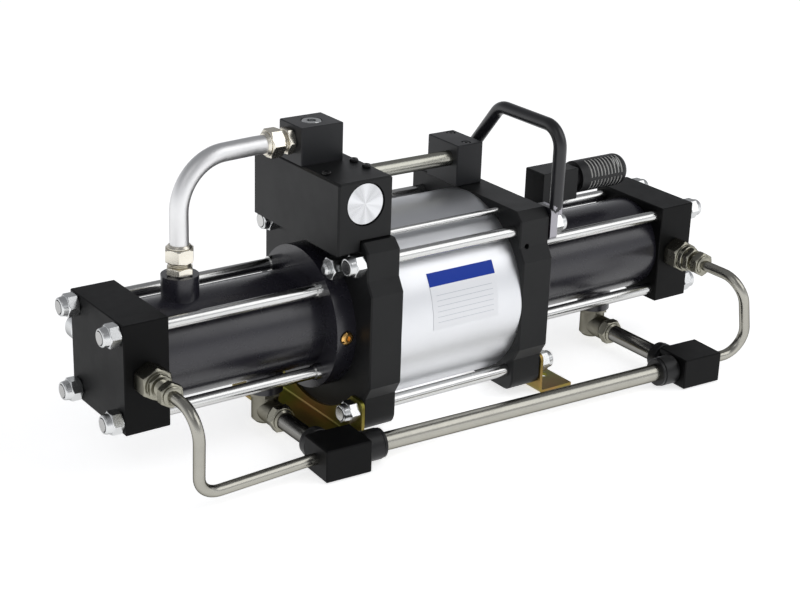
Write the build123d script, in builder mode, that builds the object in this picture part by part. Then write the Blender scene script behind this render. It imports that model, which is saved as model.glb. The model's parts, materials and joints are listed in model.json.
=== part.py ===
from build123d import *
from math import cos, hypot, radians, sin, sqrt
import os

os.makedirs("parts", exist_ok=True)

# Two-stage air-driven gas booster pump, in millimetres.
# X runs along the pump axis, from the first stage on the left to the second on the right.
# Y points away from the pipework side and Z points up.
# The origin is the middle of the floor plane under the feet.

# Stance and general fits
ground_clearance = 8.5
running_fit = 0.05
seat_gap = 0.1
rod_hole_gap = 0.25

# Drive barrel, with the air piston inside
barrel_bore = 160.0
barrel_wall = 5.5
barrel_span = 130.0
barrel_seat = 3.0

# Drive head castings, sized by how far they stand out beyond the barrel
head_thickness = 33.0
head_overhang = 1.0
head_side_overhang = 0.5
lug_step = 7.0
waist_half_height = 42.0
waist_ramp = 12.0
head_top_chamfer = 8.0
head_bottom_radius = 12.0
head_edge_chamfer = 1.2
air_port_offset = 17.0
air_port_diameter = 10.0
air_port_depth = 17.0
left_air_port_y = -12.0
side_hole_diameter = 5.0
side_hole_depth = 12.0
side_hole_offset = 8.0
side_hole_drop = 12.0

# Tie rods and their lock nuts
rod_diameter = 11.0
rod_side_inset = 10.0
rod_top_inset = 19.5
gas_rod_gap = 3.96
nut_flats = 18.0
nut_height = 10.0
nut_collar_diameter = 16.0
nut_collar_height = 5.5
rod_tip = 0.5
gas_rod_thread = 15.0
gas_rod_collar_diameter = 14.0
gas_rod_collar_height = 7.0

# Gas flanges, cooling jackets, liners and end caps
flange_gap = 1.8
flange_thickness = 19.0
flange_rod_gap = 0.5
spigot_diameter = 60.0
spigot_height = 4.0
jacket_gap = 3.0
jacket_wall = 5.0
jacket_length = 151.0
jacket_boss_diameter = 32.0
jacket_boss_rise = 18.0
jacket_port_diameter = 12.0
left_top_boss_inset = 36.0
left_elbow_inset = 33.0
right_elbow_inset = 37.0
right_top_boss_inset = 43.0
liner_seat = 4.0
first_stage_bore = 60.0
first_stage_wall = 6.0
second_stage_bore = 40.0
second_stage_wall = 8.0
cap_rim = 10.2
cap_thickness = 40.5
cap_edge_chamfer = 0.8
cap_port_inset = 20.0
cap_passage_diameter = 8.0

# Moving pistons and their rod
piston_travel = 47.0
piston_rod_diameter = 22.0
piston_end_gap = 1.0
drive_piston_thickness = 25.0
gas_piston_thickness = 24.0
rod_spigot_diameter = 16.0
rod_spigot_length = 16.0
seal_width = 8.0
seal_depth = 4.0
piston_body_gap = 0.4
bush_wall = 4.0
bush_length = 29.0
gland_wall = 5.0
gland_length = 8.0

# Pilot valves in the drive heads, just inside the barrel, and the signal tube between them
pilot_angle = 38.0
pilot_inset = 5.2
pilot_stem_diameter = 8.0
pilot_reach = 5.0
pilot_bore_diameter = 12.0
pilot_shoulder = 5.0
pilot_collar_height = 5.0
pilot_travel = 4.0
pilot_spring_room = 11.0
pilot_plug_collar = 6.0
pilot_plug_hex = 12.0
pilot_plug_tip = 5.0
pilot_tip_round = 3.0
signal_tube_diameter = 6.0
signal_tube_drop = 6.0
signal_tube_seat = 6.0
signal_passage_diameter = 4.0

# Cycling valve on the left head
valve_skirt_thickness = 23.0
valve_inner_offset = 2.0
valve_half_length = 68.0
valve_rise = 53.5
valve_skirt_drop = 9.5
valve_edge_chamfer = 2.0
valve_end_chamfer = 1.5
valve_port_shift = 3.0
spool_rise = 32.5
spool_diameter = 24.0
spool_travel = 6.0
spool_end_gap = 1.0
spool_groove_depth = 5.0
spool_groove_width = 12.0
spool_groove_spacing = 28.0
valve_plug_diameter = 38.0
valve_plug_thickness = 8.0
valve_plug_face_diameter = 35.2
valve_plug_face_drop = 1.0
valve_plug_inset = 5.0
ring_thickness = 1.6
ring_groove_depth = 1.5
ring_gap_width = 6.0
ring_gap_reach = 14.0
ring_gap_angle = 55.0
inlet_y = -28.0
inlet_rise = 28.5
inlet_diameter = 18.6
inlet_depth = 9.0

# Exhaust manifold on the cycling valve
manifold_front = -10.0
manifold_back = 26.0
manifold_inner_offset = 12.0
manifold_height = 33.0
manifold_port_rise = 18.5
manifold_plug_diameter = 18.6
manifold_plug_thickness = 9.0
manifold_plug_chamfer = 0.8
block_edge_chamfer = 0.75
socket_flats = 8.0
socket_depth = 6.0

# Transfer tube and block that feed the right head
transfer_tube_diameter = 14.0
transfer_tube_y = 25.0
transfer_tube_rise = 24.5
tube_wall = 1.5
tube_seat = 4.0
transfer_block_length = 29.0
transfer_block_inset = 8.0
transfer_block_front = 12.0
transfer_block_back = 58.0
transfer_block_rise = 39.0
screw_head_diameter = 7.5
screw_head_height = 1.5
screw_shank_diameter = 4.0
screw_shank_length = 8.0
screw_edge = 7.0
screw_sink_diameter = 9.0
screw_sink_depth = 3.0
valve_screw_y = 38.0

# Joints of the cooling air pipes: hexagon, neck and tube nut
adapter_flats = 21.0
adapter_height = 7.0
joint_neck_wall = 1.5
joint_neck_gap = 4.0
joint_lap = 6.0
joint_nut_flats = 23.0
joint_nut_height = 15.0
elbow_nut_flats = 22.0
elbow_nut_height = 12.0

# Cooling air: polished tube, elbows, back pipes and muffler
cooling_tube_diameter = 16.0
cooling_tube_bend = 45.0
cooling_tube_straight = 35.0
elbow_fall = 17.5
elbow_body_diameter = 24.0
elbow_body_foot = 12.0
elbow_body_chamfer = 3.0
elbow_branch_diameter = 22.0
elbow_bore_diameter = 11.0
elbow_reach = 22.0
elbow_hex_flats = 25.0
elbow_hex_height = 4.0
muffler_block_back = 16.0
muffler_block_reach = 27.0
muffler_block_half_width = 13.5
muffler_block_height = 30.5
muffler_rise = 17.0
muffler_diameter = 31.0
muffler_neck_diameter = 22.0
muffler_neck_length = 5.0
muffler_length = 60.0
muffler_end_radius = 9.0
muffler_wall = 4.0
muffler_slot_count = 10
muffler_slot_start = 10.5
muffler_slot_width = 2.0
muffler_slot_spacing = 4.2
muffler_slot_depth = 3.0
muffler_rib_width = 3.0

# Front pipe run: a gas tube inside the intercooler tube, between two tee blocks
left_tee_offset = 5.5
left_tee_y = -109.5
right_tee_offset = 11.5
right_tee_y = -127.5
tee_length = 44.0
tee_depth = 38.0
tee_height = 29.0
tee_edge_chamfer = 1.0
tee_nut_diameter = 27.5
tee_nut_length = 20.0
tee_back_nut_length = 11.0
tee_neck_wall = 2.5
tee_neck_length = 10.0
tee_back_neck_length = 7.0
tee_boss_height = 2.0
tee_tube_seat = 8.0

# Gas tube: where it turns in front of each cap and into the front run
gas_tube_diameter = 10.0
gas_tube_wall = 2.0
gas_tube_bend = 22.0
left_cap_bend_y = -133.0
left_run_bend_offset = 8.5
left_run_bend_y = -115.2
left_run_straight = 6.0
right_run_bend_reach = 71.5
right_cap_bend_y = -143.0

# Gas fittings with check valves on the end caps
fitting_flats = 25.0
fitting_turn = 30.0
fitting_hex_length = 18.5
fitting_shank_diameter = 20.0
fitting_shank_length = 12.0
fitting_second_flats = 19.0
fitting_second_length = 5.0
fitting_neck_diameter = 14.0
fitting_neck_length = 14.0
gas_nut_flats = 19.0
gas_nut_length = 10.0
gas_nut_lap = 3.5
gas_tube_seat = 6.0
gas_passage_diameter = 6.0
check_cavity_diameter = 16.0
check_cavity_start = 2.5
poppet_diameter = 14.0
poppet_thickness = 3.0
poppet_guide_diameter = 7.0
poppet_guide_length = 3.0
poppet_lift = 2.5
poppet_spring_room = 2.5
port_flats = 26.0
port_hex_length = 14.0
port_body_diameter = 25.0
port_body_length = 18.0
gas_port_diameter = 11.8
gas_port_depth = 14.0

# Feet, handle, vents and label plate
foot_thickness = 3.0
foot_rod_edge = 11.0
foot_run = 39.0
foot_bend = 2.0
foot_cutout_inset = 1.5
foot_corner_radius = 6.0
foot_hole_diameter = 9.0
foot_hole_spacing = 105.0
foot_hole_inset = 12.0
handle_bar_diameter = 12.0
handle_tab_thickness = 8.0
handle_tab_width = 23.0
handle_tab_corner = 4.0
handle_tab_drop = 11.0
handle_tab_rise = 19.0
handle_front_offset = 8.0
handle_rise = 71.5
handle_rear_corner_y = 9.0
handle_rear_offset = 4.0
handle_weld = 6.0
handle_bend = 19.0
vent_diameter = 11.6
vent_head_height = 3.0
vent_shank_diameter = 7.0
vent_shank_length = 6.0
vent_flat_depth = 1.0
vent_flat_margin = 1.0
label_start_x = -32.0
label_length = 71.0
label_thickness = 0.3
label_gap = 0.05
label_top_angle = 33.0
label_bottom_angle = -1.0

# Barrel, heads and tie rods, worked out from the sizes above
barrel_radius = barrel_bore / 2
barrel_outer_radius = barrel_radius + barrel_wall
head_inner_x = barrel_span / 2
head_outer_x = head_inner_x + head_thickness
barrel_half_length = head_inner_x + barrel_seat
head_half_height = barrel_outer_radius + head_overhang
head_half_width = barrel_outer_radius + head_side_overhang
lug_half_width = head_half_width - lug_step
axis_height = head_half_height + ground_clearance
rod_radius = rod_diameter / 2
rod_hole_radius = rod_radius + rod_hole_gap
rod_end = nut_height + nut_collar_height + rod_tip
drive_rod_y = lug_half_width - rod_side_inset
drive_rod_z = head_half_height - rod_top_inset
air_port_x = head_inner_x + air_port_offset
side_hole_x = head_inner_x + side_hole_offset
side_hole_z = drive_rod_z - side_hole_drop

# Pilot valves and signal tube
pilot_distance = barrel_radius - pilot_inset
pilot_y = -pilot_distance * sin(radians(pilot_angle))
pilot_z = pilot_distance * cos(radians(pilot_angle))
pilot_stem_radius = pilot_stem_diameter / 2
pilot_bore_radius = pilot_bore_diameter / 2
pilot_bore_x = head_inner_x + pilot_shoulder
pilot_plug_shank = (
    head_thickness - pilot_shoulder - pilot_collar_height - pilot_travel - pilot_spring_room
)
signal_tube_z = head_half_height - signal_tube_drop

# Gas barrels
flange_radius = pilot_distance - nut_flats / 2 - flange_gap
flange_outer_x = head_outer_x + flange_thickness
first_liner_radius = first_stage_bore / 2 + first_stage_wall
second_liner_radius = second_stage_bore / 2 + second_stage_wall
jacket_bore_radius = first_liner_radius + jacket_gap
jacket_radius = jacket_bore_radius + jacket_wall
jacket_boss_top = jacket_radius + jacket_boss_rise
gas_rod_spacing = (jacket_radius + gas_rod_gap + rod_radius) * sqrt(2)
cap_inner_x = flange_outer_x + jacket_length
cap_outer_x = cap_inner_x + cap_thickness
cap_half = gas_rod_spacing / 2 + cap_rim
port_x = cap_inner_x + cap_port_inset
left_top_boss_x = cap_inner_x - left_top_boss_inset
left_elbow_x = flange_outer_x + left_elbow_inset
right_elbow_x = cap_inner_x - right_elbow_inset
right_top_boss_x = flange_outer_x + right_top_boss_inset

# Pistons, bushes and glands
piston_rod_radius = piston_rod_diameter / 2
gas_piston_outer_x = cap_inner_x - piston_travel - piston_end_gap
gas_piston_inner_x = gas_piston_outer_x - gas_piston_thickness
bush_radius = piston_rod_radius + bush_wall
gland_radius = piston_rod_radius + gland_wall
gland_start_x = head_outer_x - spigot_height

# Cycling valve, manifold and transfer tube
valve_outer_x = head_outer_x + valve_skirt_thickness
valve_inner_x = head_inner_x + valve_inner_offset
valve_top = head_half_height + valve_rise
valve_skirt_bottom = head_half_height - valve_skirt_drop
spool_x = (valve_outer_x + valve_inner_x) / 2
spool_z = head_half_height + spool_rise
spool_radius = spool_diameter / 2
plug_seat_y = valve_half_length - valve_plug_inset - valve_plug_thickness
spool_half_length = plug_seat_y - spool_travel - spool_end_gap
inlet_z = head_half_height + inlet_rise
manifold_inner_x = valve_inner_x + manifold_inner_offset
manifold_port_z = valve_top + manifold_port_rise
transfer_radius = transfer_tube_diameter / 2
transfer_tube_z = head_half_height + transfer_tube_rise
transfer_block_top = head_half_height + transfer_block_rise
transfer_block_x = head_outer_x - transfer_block_inset - transfer_block_length

# Cooling air pipes, muffler and front run
cooling_radius = cooling_tube_diameter / 2
cooling_bore_radius = cooling_radius - tube_wall
joint_neck_radius = cooling_radius + joint_neck_wall
elbow_drop = jacket_boss_top + elbow_fall
muffler_block_start = right_top_boss_x - muffler_block_back
muffler_block_end = right_top_boss_x + muffler_block_reach
muffler_z = jacket_boss_top + muffler_rise
left_tee_x = left_tee_offset - left_elbow_x
right_tee_x = right_elbow_x + right_tee_offset
tee_nut_radius = tee_nut_diameter / 2
tee_neck_radius = cooling_radius + tee_neck_wall
tee_half_length = tee_length / 2
gas_tube_radius = gas_tube_diameter / 2
gas_tube_bore_radius = gas_tube_radius - gas_tube_wall
run_length = hypot(right_tee_x - left_tee_x, right_tee_y - left_tee_y)
run_slope = (right_tee_y - left_tee_y) / (right_tee_x - left_tee_x)

# Check valves, handle and feet
check_cavity_length = poppet_thickness + poppet_guide_length + poppet_lift + poppet_spring_room
handle_face_x = head_outer_x + handle_tab_thickness
handle_tab_bottom = drive_rod_z - handle_tab_drop
handle_tab_top = drive_rod_z + handle_tab_rise
foot_face_x = head_outer_x + foot_thickness
foot_half_width = drive_rod_y + foot_rod_edge
foot_top_z = foot_rod_edge - drive_rod_z


def outward(side, x, y=0.0, z=0.0):
    """Sketch plane across the pump axis that faces away from the middle, on the given side."""
    return Plane(origin=(side * x, y, axis_height + z), x_dir=(0, side, 0), z_dir=(side, 0, 0))


def across(x, y=0.0, z=0.0):
    """Sketch plane across the pump axis, facing +X, with local x along +Y and local y up."""
    return outward(1, x, y, z)


def facing(side, y, x=0.0, z=0.0):
    """Sketch plane that faces the front (side -1) or the back (side 1), with local y up."""
    return Plane(origin=(x, side * y, axis_height + z), x_dir=(-side, 0, 0), z_dir=(0, side, 0))


def level(z, x=0.0, y=0.0):
    """Level sketch plane at a height measured from the pump axis, facing up."""
    return Plane(origin=(x, y, axis_height + z))


def below(z, x=0.0, y=0.0):
    """Level sketch plane that faces down."""
    return Plane(origin=(x, y, axis_height + z), x_dir=(1, 0, 0), z_dir=(0, 0, -1))


front_run = Plane(
    origin=(left_tee_x, left_tee_y, axis_height - elbow_drop),
    x_dir=(right_tee_x - left_tee_x, right_tee_y - left_tee_y, 0),
    z_dir=(0, 0, 1),
)


def along_run(distance, way=1):
    """Sketch plane across the front pipe run, facing along it (1) or back along it (-1)."""
    centre = front_run.from_local_coords(Vector(distance, 0, 0))
    return Plane(origin=centre, x_dir=front_run.y_dir * way, z_dir=front_run.x_dir * way)


def rod(plane, radius, length, mode=Mode.ADD):
    """Round bar that rises from a plane, in the part being built."""
    with BuildSketch(plane) as profile:
        Circle(radius)
    extrude(profile.sketch, amount=length, mode=mode)


def ring(plane, outer_radius, inner_radius, length, mode=Mode.ADD):
    """Plain ring or tube that rises from a plane."""
    with BuildSketch(plane) as profile:
        Circle(outer_radius)
        Circle(inner_radius, mode=Mode.SUBTRACT)
    extrude(profile.sketch, amount=length, mode=mode)


def hexagon(plane, flats, length, hole_radius=0.0, turn=0.0):
    """Hexagonal bar that rises from a plane, turned by an angle, with an optional hole."""
    with BuildSketch(plane) as profile:
        RegularPolygon(flats / 2, 6, major_radius=False, rotation=turn)
        if hole_radius > 0:
            Circle(hole_radius, mode=Mode.SUBTRACT)
    extrude(profile.sketch, amount=length)


def export(piece, name):
    """Labels a finished piece and writes it as one file."""
    piece.part.label = name
    export_step(piece.part, f"parts/{name}.step")


# Air barrel: the wide tube between the two heads
with BuildPart() as air_barrel:
    ring(across(-barrel_half_length), barrel_outer_radius, barrel_radius, 2 * barrel_half_length)

# Head casting shared by both sides: straight at the back, waisted in front of the tie rods
with BuildPart() as head_casting:
    with BuildSketch(across(head_inner_x)) as head_outline:
        with BuildLine():
            Polyline(
                (head_half_width, head_half_height),
                (head_top_chamfer - lug_half_width, head_half_height),
                (-lug_half_width, head_half_height - head_top_chamfer),
                (-lug_half_width, waist_half_height + waist_ramp),
                (-head_half_width, waist_half_height),
                (-head_half_width, -waist_half_height),
                (-lug_half_width, -waist_half_height - waist_ramp),
                (-lug_half_width, -head_half_height),
                (head_half_width, -head_half_height),
                close=True,
            )
        make_face()
        fillet(head_outline.vertices().group_by(Axis.Y)[0], head_bottom_radius)
    extrude(amount=head_thickness)
    chamfer(head_casting.faces().filter_by(Axis.X).edges(), head_edge_chamfer)
    # Seat for the barrel, bush bore and recess for the gas flange
    ring(
        across(head_inner_x),
        barrel_outer_radius + seat_gap,
        barrel_radius - seat_gap,
        barrel_seat,
        Mode.SUBTRACT,
    )
    rod(across(head_inner_x), bush_radius, head_thickness, Mode.SUBTRACT)
    rod(across(gland_start_x), spigot_diameter / 2 + seat_gap, spigot_height, Mode.SUBTRACT)
    # Tie rod holes
    with BuildSketch(across(head_inner_x)):
        with GridLocations(2 * drive_rod_y, 2 * drive_rod_z, 2, 2):
            Circle(rod_hole_radius)
    extrude(amount=head_thickness, mode=Mode.SUBTRACT)
    # Pilot valve: a guide bore from the barrel side and a wider bore from the outside
    rod(
        across(head_inner_x, pilot_y, pilot_z),
        pilot_stem_radius + running_fit,
        pilot_shoulder,
        Mode.SUBTRACT,
    )
    rod(
        across(pilot_bore_x, pilot_y, pilot_z),
        pilot_bore_radius + running_fit,
        head_thickness - pilot_shoulder,
        Mode.SUBTRACT,
    )
    # Signal tube seat and the drilling from it down to the pilot bore
    rod(
        across(head_inner_x, pilot_y, signal_tube_z),
        signal_tube_diameter / 2 + running_fit,
        signal_tube_seat,
        Mode.SUBTRACT,
    )
    rod(
        across(head_inner_x + signal_tube_seat, pilot_y, signal_tube_z),
        signal_passage_diameter / 2,
        signal_tube_seat,
        Mode.SUBTRACT,
    )
    rod(
        below(signal_tube_z, head_inner_x + 2 * signal_tube_seat - signal_passage_diameter / 2, pilot_y),
        signal_passage_diameter / 2,
        signal_tube_z - pilot_z,
        Mode.SUBTRACT,
    )


def air_port(side, y):
    """Cuts the air port of a head: down from its top face, then through to the barrel."""
    x = side * air_port_x
    rod(below(head_half_height, x, y), air_port_diameter / 2, air_port_depth, Mode.SUBTRACT)
    floor_z = head_half_height - air_port_depth
    run = air_port_x - head_inner_x
    rod(outward(side, head_inner_x, y, floor_z), air_port_diameter / 2, run, Mode.SUBTRACT)


with BuildPart() as left_drive_head:
    mirror(head_casting.part, about=Plane.YZ)
    air_port(-1, left_air_port_y)

with BuildPart() as right_drive_head:
    add(head_casting.part)
    air_port(1, transfer_tube_y)
    rod(
        facing(1, -head_half_width, side_hole_x, side_hole_z),
        side_hole_diameter / 2,
        lug_step + side_hole_depth,
        Mode.SUBTRACT,
    )

# Four long rods clamp the heads onto the barrel; the right top pair also carries the handle
with BuildPart() as drive_tie_rods:
    top_left = head_outer_x + rod_end
    top_right = handle_face_x + rod_end
    with BuildSketch(across(-top_left, 0, drive_rod_z)):
        with GridLocations(2 * drive_rod_y, 0, 2, 1):
            Circle(rod_radius)
    extrude(amount=top_left + top_right)
    bottom_end = foot_face_x + rod_end
    with BuildSketch(across(-bottom_end, 0, -drive_rod_z)):
        with GridLocations(2 * drive_rod_y, 0, 2, 1):
            Circle(rod_radius)
    extrude(amount=2 * bottom_end)

# Eight studs hold the end caps, each screwed into its flange up to a collar
with BuildPart() as gas_tie_rods:
    for side in (-1, 1):
        stud_start = flange_outer_x - gas_rod_thread
        with BuildSketch(outward(side, stud_start)):
            with GridLocations(gas_rod_spacing, gas_rod_spacing, 2, 2):
                Circle(rod_radius)
        extrude(amount=cap_outer_x + rod_end - stud_start)
        with BuildSketch(outward(side, flange_outer_x)):
            with GridLocations(gas_rod_spacing, gas_rod_spacing, 2, 2):
                Circle(gas_rod_collar_diameter / 2)
        extrude(amount=gas_rod_collar_height)


def lock_nuts(face, spacing_y, spacing_z, rows):
    """Lock nuts seated on a face, each a hexagon with a round collar for its insert."""
    with BuildSketch(face) as flats:
        with GridLocations(spacing_y, spacing_z, 2, rows):
            RegularPolygon(nut_flats / 2, 6, major_radius=False)
            Circle(rod_radius, mode=Mode.SUBTRACT)
    extrude(flats.sketch, amount=nut_height)
    with BuildSketch(face.offset(nut_height)) as collars:
        with GridLocations(spacing_y, spacing_z, 2, rows):
            Circle(nut_collar_diameter / 2)
            Circle(rod_radius, mode=Mode.SUBTRACT)
    extrude(collars.sketch, amount=nut_collar_height)


with BuildPart() as tie_rod_nuts:
    lock_nuts(outward(-1, head_outer_x, 0, drive_rod_z), 2 * drive_rod_y, 0, 1)
    lock_nuts(outward(1, handle_face_x, 0, drive_rod_z), 2 * drive_rod_y, 0, 1)
    for side in (-1, 1):
        lock_nuts(outward(side, foot_face_x, 0, -drive_rod_z), 2 * drive_rod_y, 0, 1)
        lock_nuts(outward(side, cap_outer_x), gas_rod_spacing, gas_rod_spacing, 2)

# Gas flanges: round discs with a spigot into the head, a seal bore and a seat for the liner
with BuildPart() as gas_flanges:
    for side, liner_radius in ((-1, first_liner_radius), (1, second_liner_radius)):
        rod(outward(side, head_outer_x), flange_radius, flange_thickness)
        rod(outward(side, gland_start_x), spigot_diameter / 2, spigot_height)
        rod(
            outward(side, gland_start_x),
            piston_rod_radius + flange_rod_gap,
            spigot_height + flange_thickness,
            Mode.SUBTRACT,
        )
        rod(outward(side, gland_start_x), gland_radius, gland_length, Mode.SUBTRACT)
        rod(
            outward(side, flange_outer_x - liner_seat),
            liner_radius + seat_gap,
            liner_seat,
            Mode.SUBTRACT,
        )
        with BuildSketch(outward(side, flange_outer_x - gas_rod_thread)):
            with GridLocations(gas_rod_spacing, gas_rod_spacing, 2, 2):
                Circle(rod_radius)
        extrude(amount=gas_rod_thread, mode=Mode.SUBTRACT)
        vent_x = side * (head_outer_x + flange_thickness / 2)
        vent_seat = flange_radius - vent_flat_depth
        rod(
            facing(-1, vent_seat, vent_x),
            vent_diameter / 2 + vent_flat_margin,
            vent_flat_depth + vent_flat_margin,
            Mode.SUBTRACT,
        )
        rod(
            facing(-1, vent_seat - vent_shank_length, vent_x),
            vent_shank_diameter / 2,
            vent_shank_length,
            Mode.SUBTRACT,
        )

# Brass vent plugs in the front rim of the flanges
with BuildPart() as vent_plugs:
    for side in (-1, 1):
        vent_x = side * (head_outer_x + flange_thickness / 2)
        vent_seat = flange_radius - vent_flat_depth
        rod(facing(-1, vent_seat, vent_x), vent_diameter / 2, vent_head_height)
        rod(facing(1, -vent_seat, vent_x), vent_shank_diameter / 2, vent_shank_length)


def cooling_jacket(side, bosses):
    """Cooling jacket: a tube with flat-topped bosses, each given as its X place and way up."""
    rod(outward(side, flange_outer_x), jacket_radius, jacket_length)
    for x, way in bosses:
        start = level(0, side * x) if way > 0 else below(0, side * x)
        rod(start, jacket_boss_diameter / 2, jacket_boss_top)
    rod(outward(side, flange_outer_x), jacket_bore_radius, jacket_length, Mode.SUBTRACT)
    for x, way in bosses:
        start = level(0, side * x) if way > 0 else below(0, side * x)
        rod(start, jacket_port_diameter / 2, jacket_boss_top, Mode.SUBTRACT)


with BuildPart() as left_cooling_jacket:
    cooling_jacket(-1, ((left_top_boss_x, 1), (left_elbow_x, -1)))

with BuildPart() as right_cooling_jacket:
    cooling_jacket(1, ((right_top_boss_x, 1), (right_elbow_x, -1)))

# Gas cylinder liners, seated in the flange and the cap
liner_length = jacket_length + 2 * liner_seat
with BuildPart() as left_gas_liner:
    start = outward(-1, flange_outer_x - liner_seat)
    ring(start, first_liner_radius, first_stage_bore / 2, liner_length)

with BuildPart() as right_gas_liner:
    start = outward(1, flange_outer_x - liner_seat)
    ring(start, second_liner_radius, second_stage_bore / 2, liner_length)


def end_cap(side, liner_radius):
    """Square end cap with a liner seat, a cross drilling and ports on its front and back."""
    with BuildSketch(outward(side, cap_inner_x)) as outline:
        Rectangle(2 * cap_half, 2 * cap_half)
    block = extrude(outline.sketch, amount=cap_thickness)
    chamfer(block.edges(), cap_edge_chamfer)
    rod(outward(side, cap_inner_x), liner_radius + seat_gap, liner_seat, Mode.SUBTRACT)
    with BuildSketch(outward(side, cap_inner_x)) as holes:
        with GridLocations(gas_rod_spacing, gas_rod_spacing, 2, 2):
            Circle(rod_hole_radius)
    extrude(holes.sketch, amount=cap_thickness, mode=Mode.SUBTRACT)
    rod(outward(side, cap_inner_x), cap_passage_diameter / 2, cap_port_inset, Mode.SUBTRACT)
    rod(facing(1, -cap_half, side * port_x), cap_passage_diameter / 2, 2 * cap_half, Mode.SUBTRACT)
    for way in (-1, 1):
        rod(
            facing(way, cap_half - fitting_shank_length, side * port_x),
            fitting_shank_diameter / 2,
            fitting_shank_length,
            Mode.SUBTRACT,
        )


with BuildPart() as left_end_cap:
    end_cap(-1, first_liner_radius)

with BuildPart() as right_end_cap:
    end_cap(1, second_liner_radius)

# Drive piston, on the middle of the rod, with a groove for its seal
with BuildPart() as drive_piston:
    rod(across(-drive_piston_thickness / 2), barrel_radius - piston_body_gap, drive_piston_thickness)
    groove_start = across(-seal_width / 2)
    ring(groove_start, barrel_radius, barrel_radius - seal_depth, seal_width, Mode.SUBTRACT)
    start = across(-drive_piston_thickness / 2)
    rod(start, piston_rod_radius, drive_piston_thickness, Mode.SUBTRACT)

# Piston rod through both heads, with a spigot at each end for a gas piston
with BuildPart() as piston_rod:
    rod(across(-gas_piston_inner_x), piston_rod_radius, 2 * gas_piston_inner_x)
    for side in (-1, 1):
        rod(outward(side, gas_piston_inner_x), rod_spigot_diameter / 2, rod_spigot_length)


def gas_piston(side, bore):
    """Gas piston with a blind bore for the rod spigot and a groove for its seal."""
    start = outward(side, gas_piston_inner_x)
    rod(start, bore / 2 - piston_body_gap, gas_piston_thickness)
    rod(start, rod_spigot_diameter / 2, rod_spigot_length, Mode.SUBTRACT)
    groove_start = start.offset((gas_piston_thickness - seal_width) / 2)
    ring(groove_start, bore / 2, bore / 2 - seal_depth, seal_width, Mode.SUBTRACT)


with BuildPart() as left_gas_piston:
    gas_piston(-1, first_stage_bore)

with BuildPart() as right_gas_piston:
    gas_piston(1, second_stage_bore)

# Piston seals: one ring on each of the three pistons
with BuildPart() as piston_seals:
    seal_start = gas_piston_inner_x + (gas_piston_thickness - seal_width) / 2
    for plane, bore in (
        (across(-seal_width / 2), barrel_bore),
        (outward(-1, seal_start), first_stage_bore),
        (outward(1, seal_start), second_stage_bore),
    ):
        ring(plane, bore / 2 - running_fit, bore / 2 - seal_depth, seal_width)

# Rod bushes in the heads and rod seals in the flanges
with BuildPart() as rod_bushes:
    for side in (-1, 1):
        inner_radius = piston_rod_radius + running_fit
        ring(outward(side, head_inner_x), bush_radius, inner_radius, bush_length)

with BuildPart() as rod_seals:
    for side in (-1, 1):
        inner_radius = piston_rod_radius + running_fit
        ring(outward(side, gland_start_x), gland_radius, inner_radius, gland_length)


def pilot_stem(side):
    """Pilot stem: its tip reaches into the barrel, its collar rests on the bore's shoulder."""
    tip_length = pilot_reach + pilot_shoulder
    rod(outward(side, head_inner_x - pilot_reach, pilot_y, pilot_z), pilot_stem_radius, tip_length)
    rod(outward(side, pilot_bore_x, pilot_y, pilot_z), pilot_bore_radius, pilot_collar_height)


with BuildPart() as left_pilot_stem:
    pilot_stem(-1)

with BuildPart() as right_pilot_stem:
    pilot_stem(1)

# Hexagon plugs that close the pilot bores, each with a rounded tip
with BuildPart() as pilot_plugs:
    for side in (-1, 1):
        seat = outward(side, head_outer_x, pilot_y, pilot_z)
        rod(seat.offset(-pilot_plug_shank), pilot_bore_radius, pilot_plug_shank)
        rod(seat, nut_flats / 2, pilot_plug_collar)
        hexagon(seat.offset(pilot_plug_collar), nut_flats, pilot_plug_hex)
        tip_start = seat.offset(pilot_plug_collar + pilot_plug_hex)
        rod(tip_start, pilot_plug_tip, pilot_plug_tip)
        tip_edges = pilot_plugs.faces().sort_by(Axis.X)[-1 if side > 0 else 0].edges()
        fillet(tip_edges, pilot_tip_round)

# Signal tube along the front top edge of the barrel
with BuildPart() as signal_tube:
    signal_end = head_inner_x + signal_tube_seat
    rod(
        across(-signal_end, pilot_y, signal_tube_z),
        signal_tube_diameter / 2,
        2 * signal_end,
    )
    rod(
        across(-signal_end, pilot_y, signal_tube_z),
        signal_passage_diameter / 2,
        2 * signal_end,
        Mode.SUBTRACT,
    )

# Places of the small screws: on top of the valve body and sunk in the transfer block
valve_screw_planes = [
    level(valve_top, -valve_outer_x + screw_edge, -valve_screw_y),
    level(valve_top, -valve_inner_x - screw_edge, -valve_screw_y),
    level(valve_top, -valve_inner_x - screw_edge, -valve_screw_y / 2),
]
block_x = transfer_block_x + transfer_block_length / 2
screw_seat_z = transfer_block_top - screw_sink_depth
block_screw_planes = [
    level(screw_seat_z, air_port_x, transfer_block_back - screw_edge),
    level(screw_seat_z, block_x, transfer_block_front + screw_edge),
]

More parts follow.
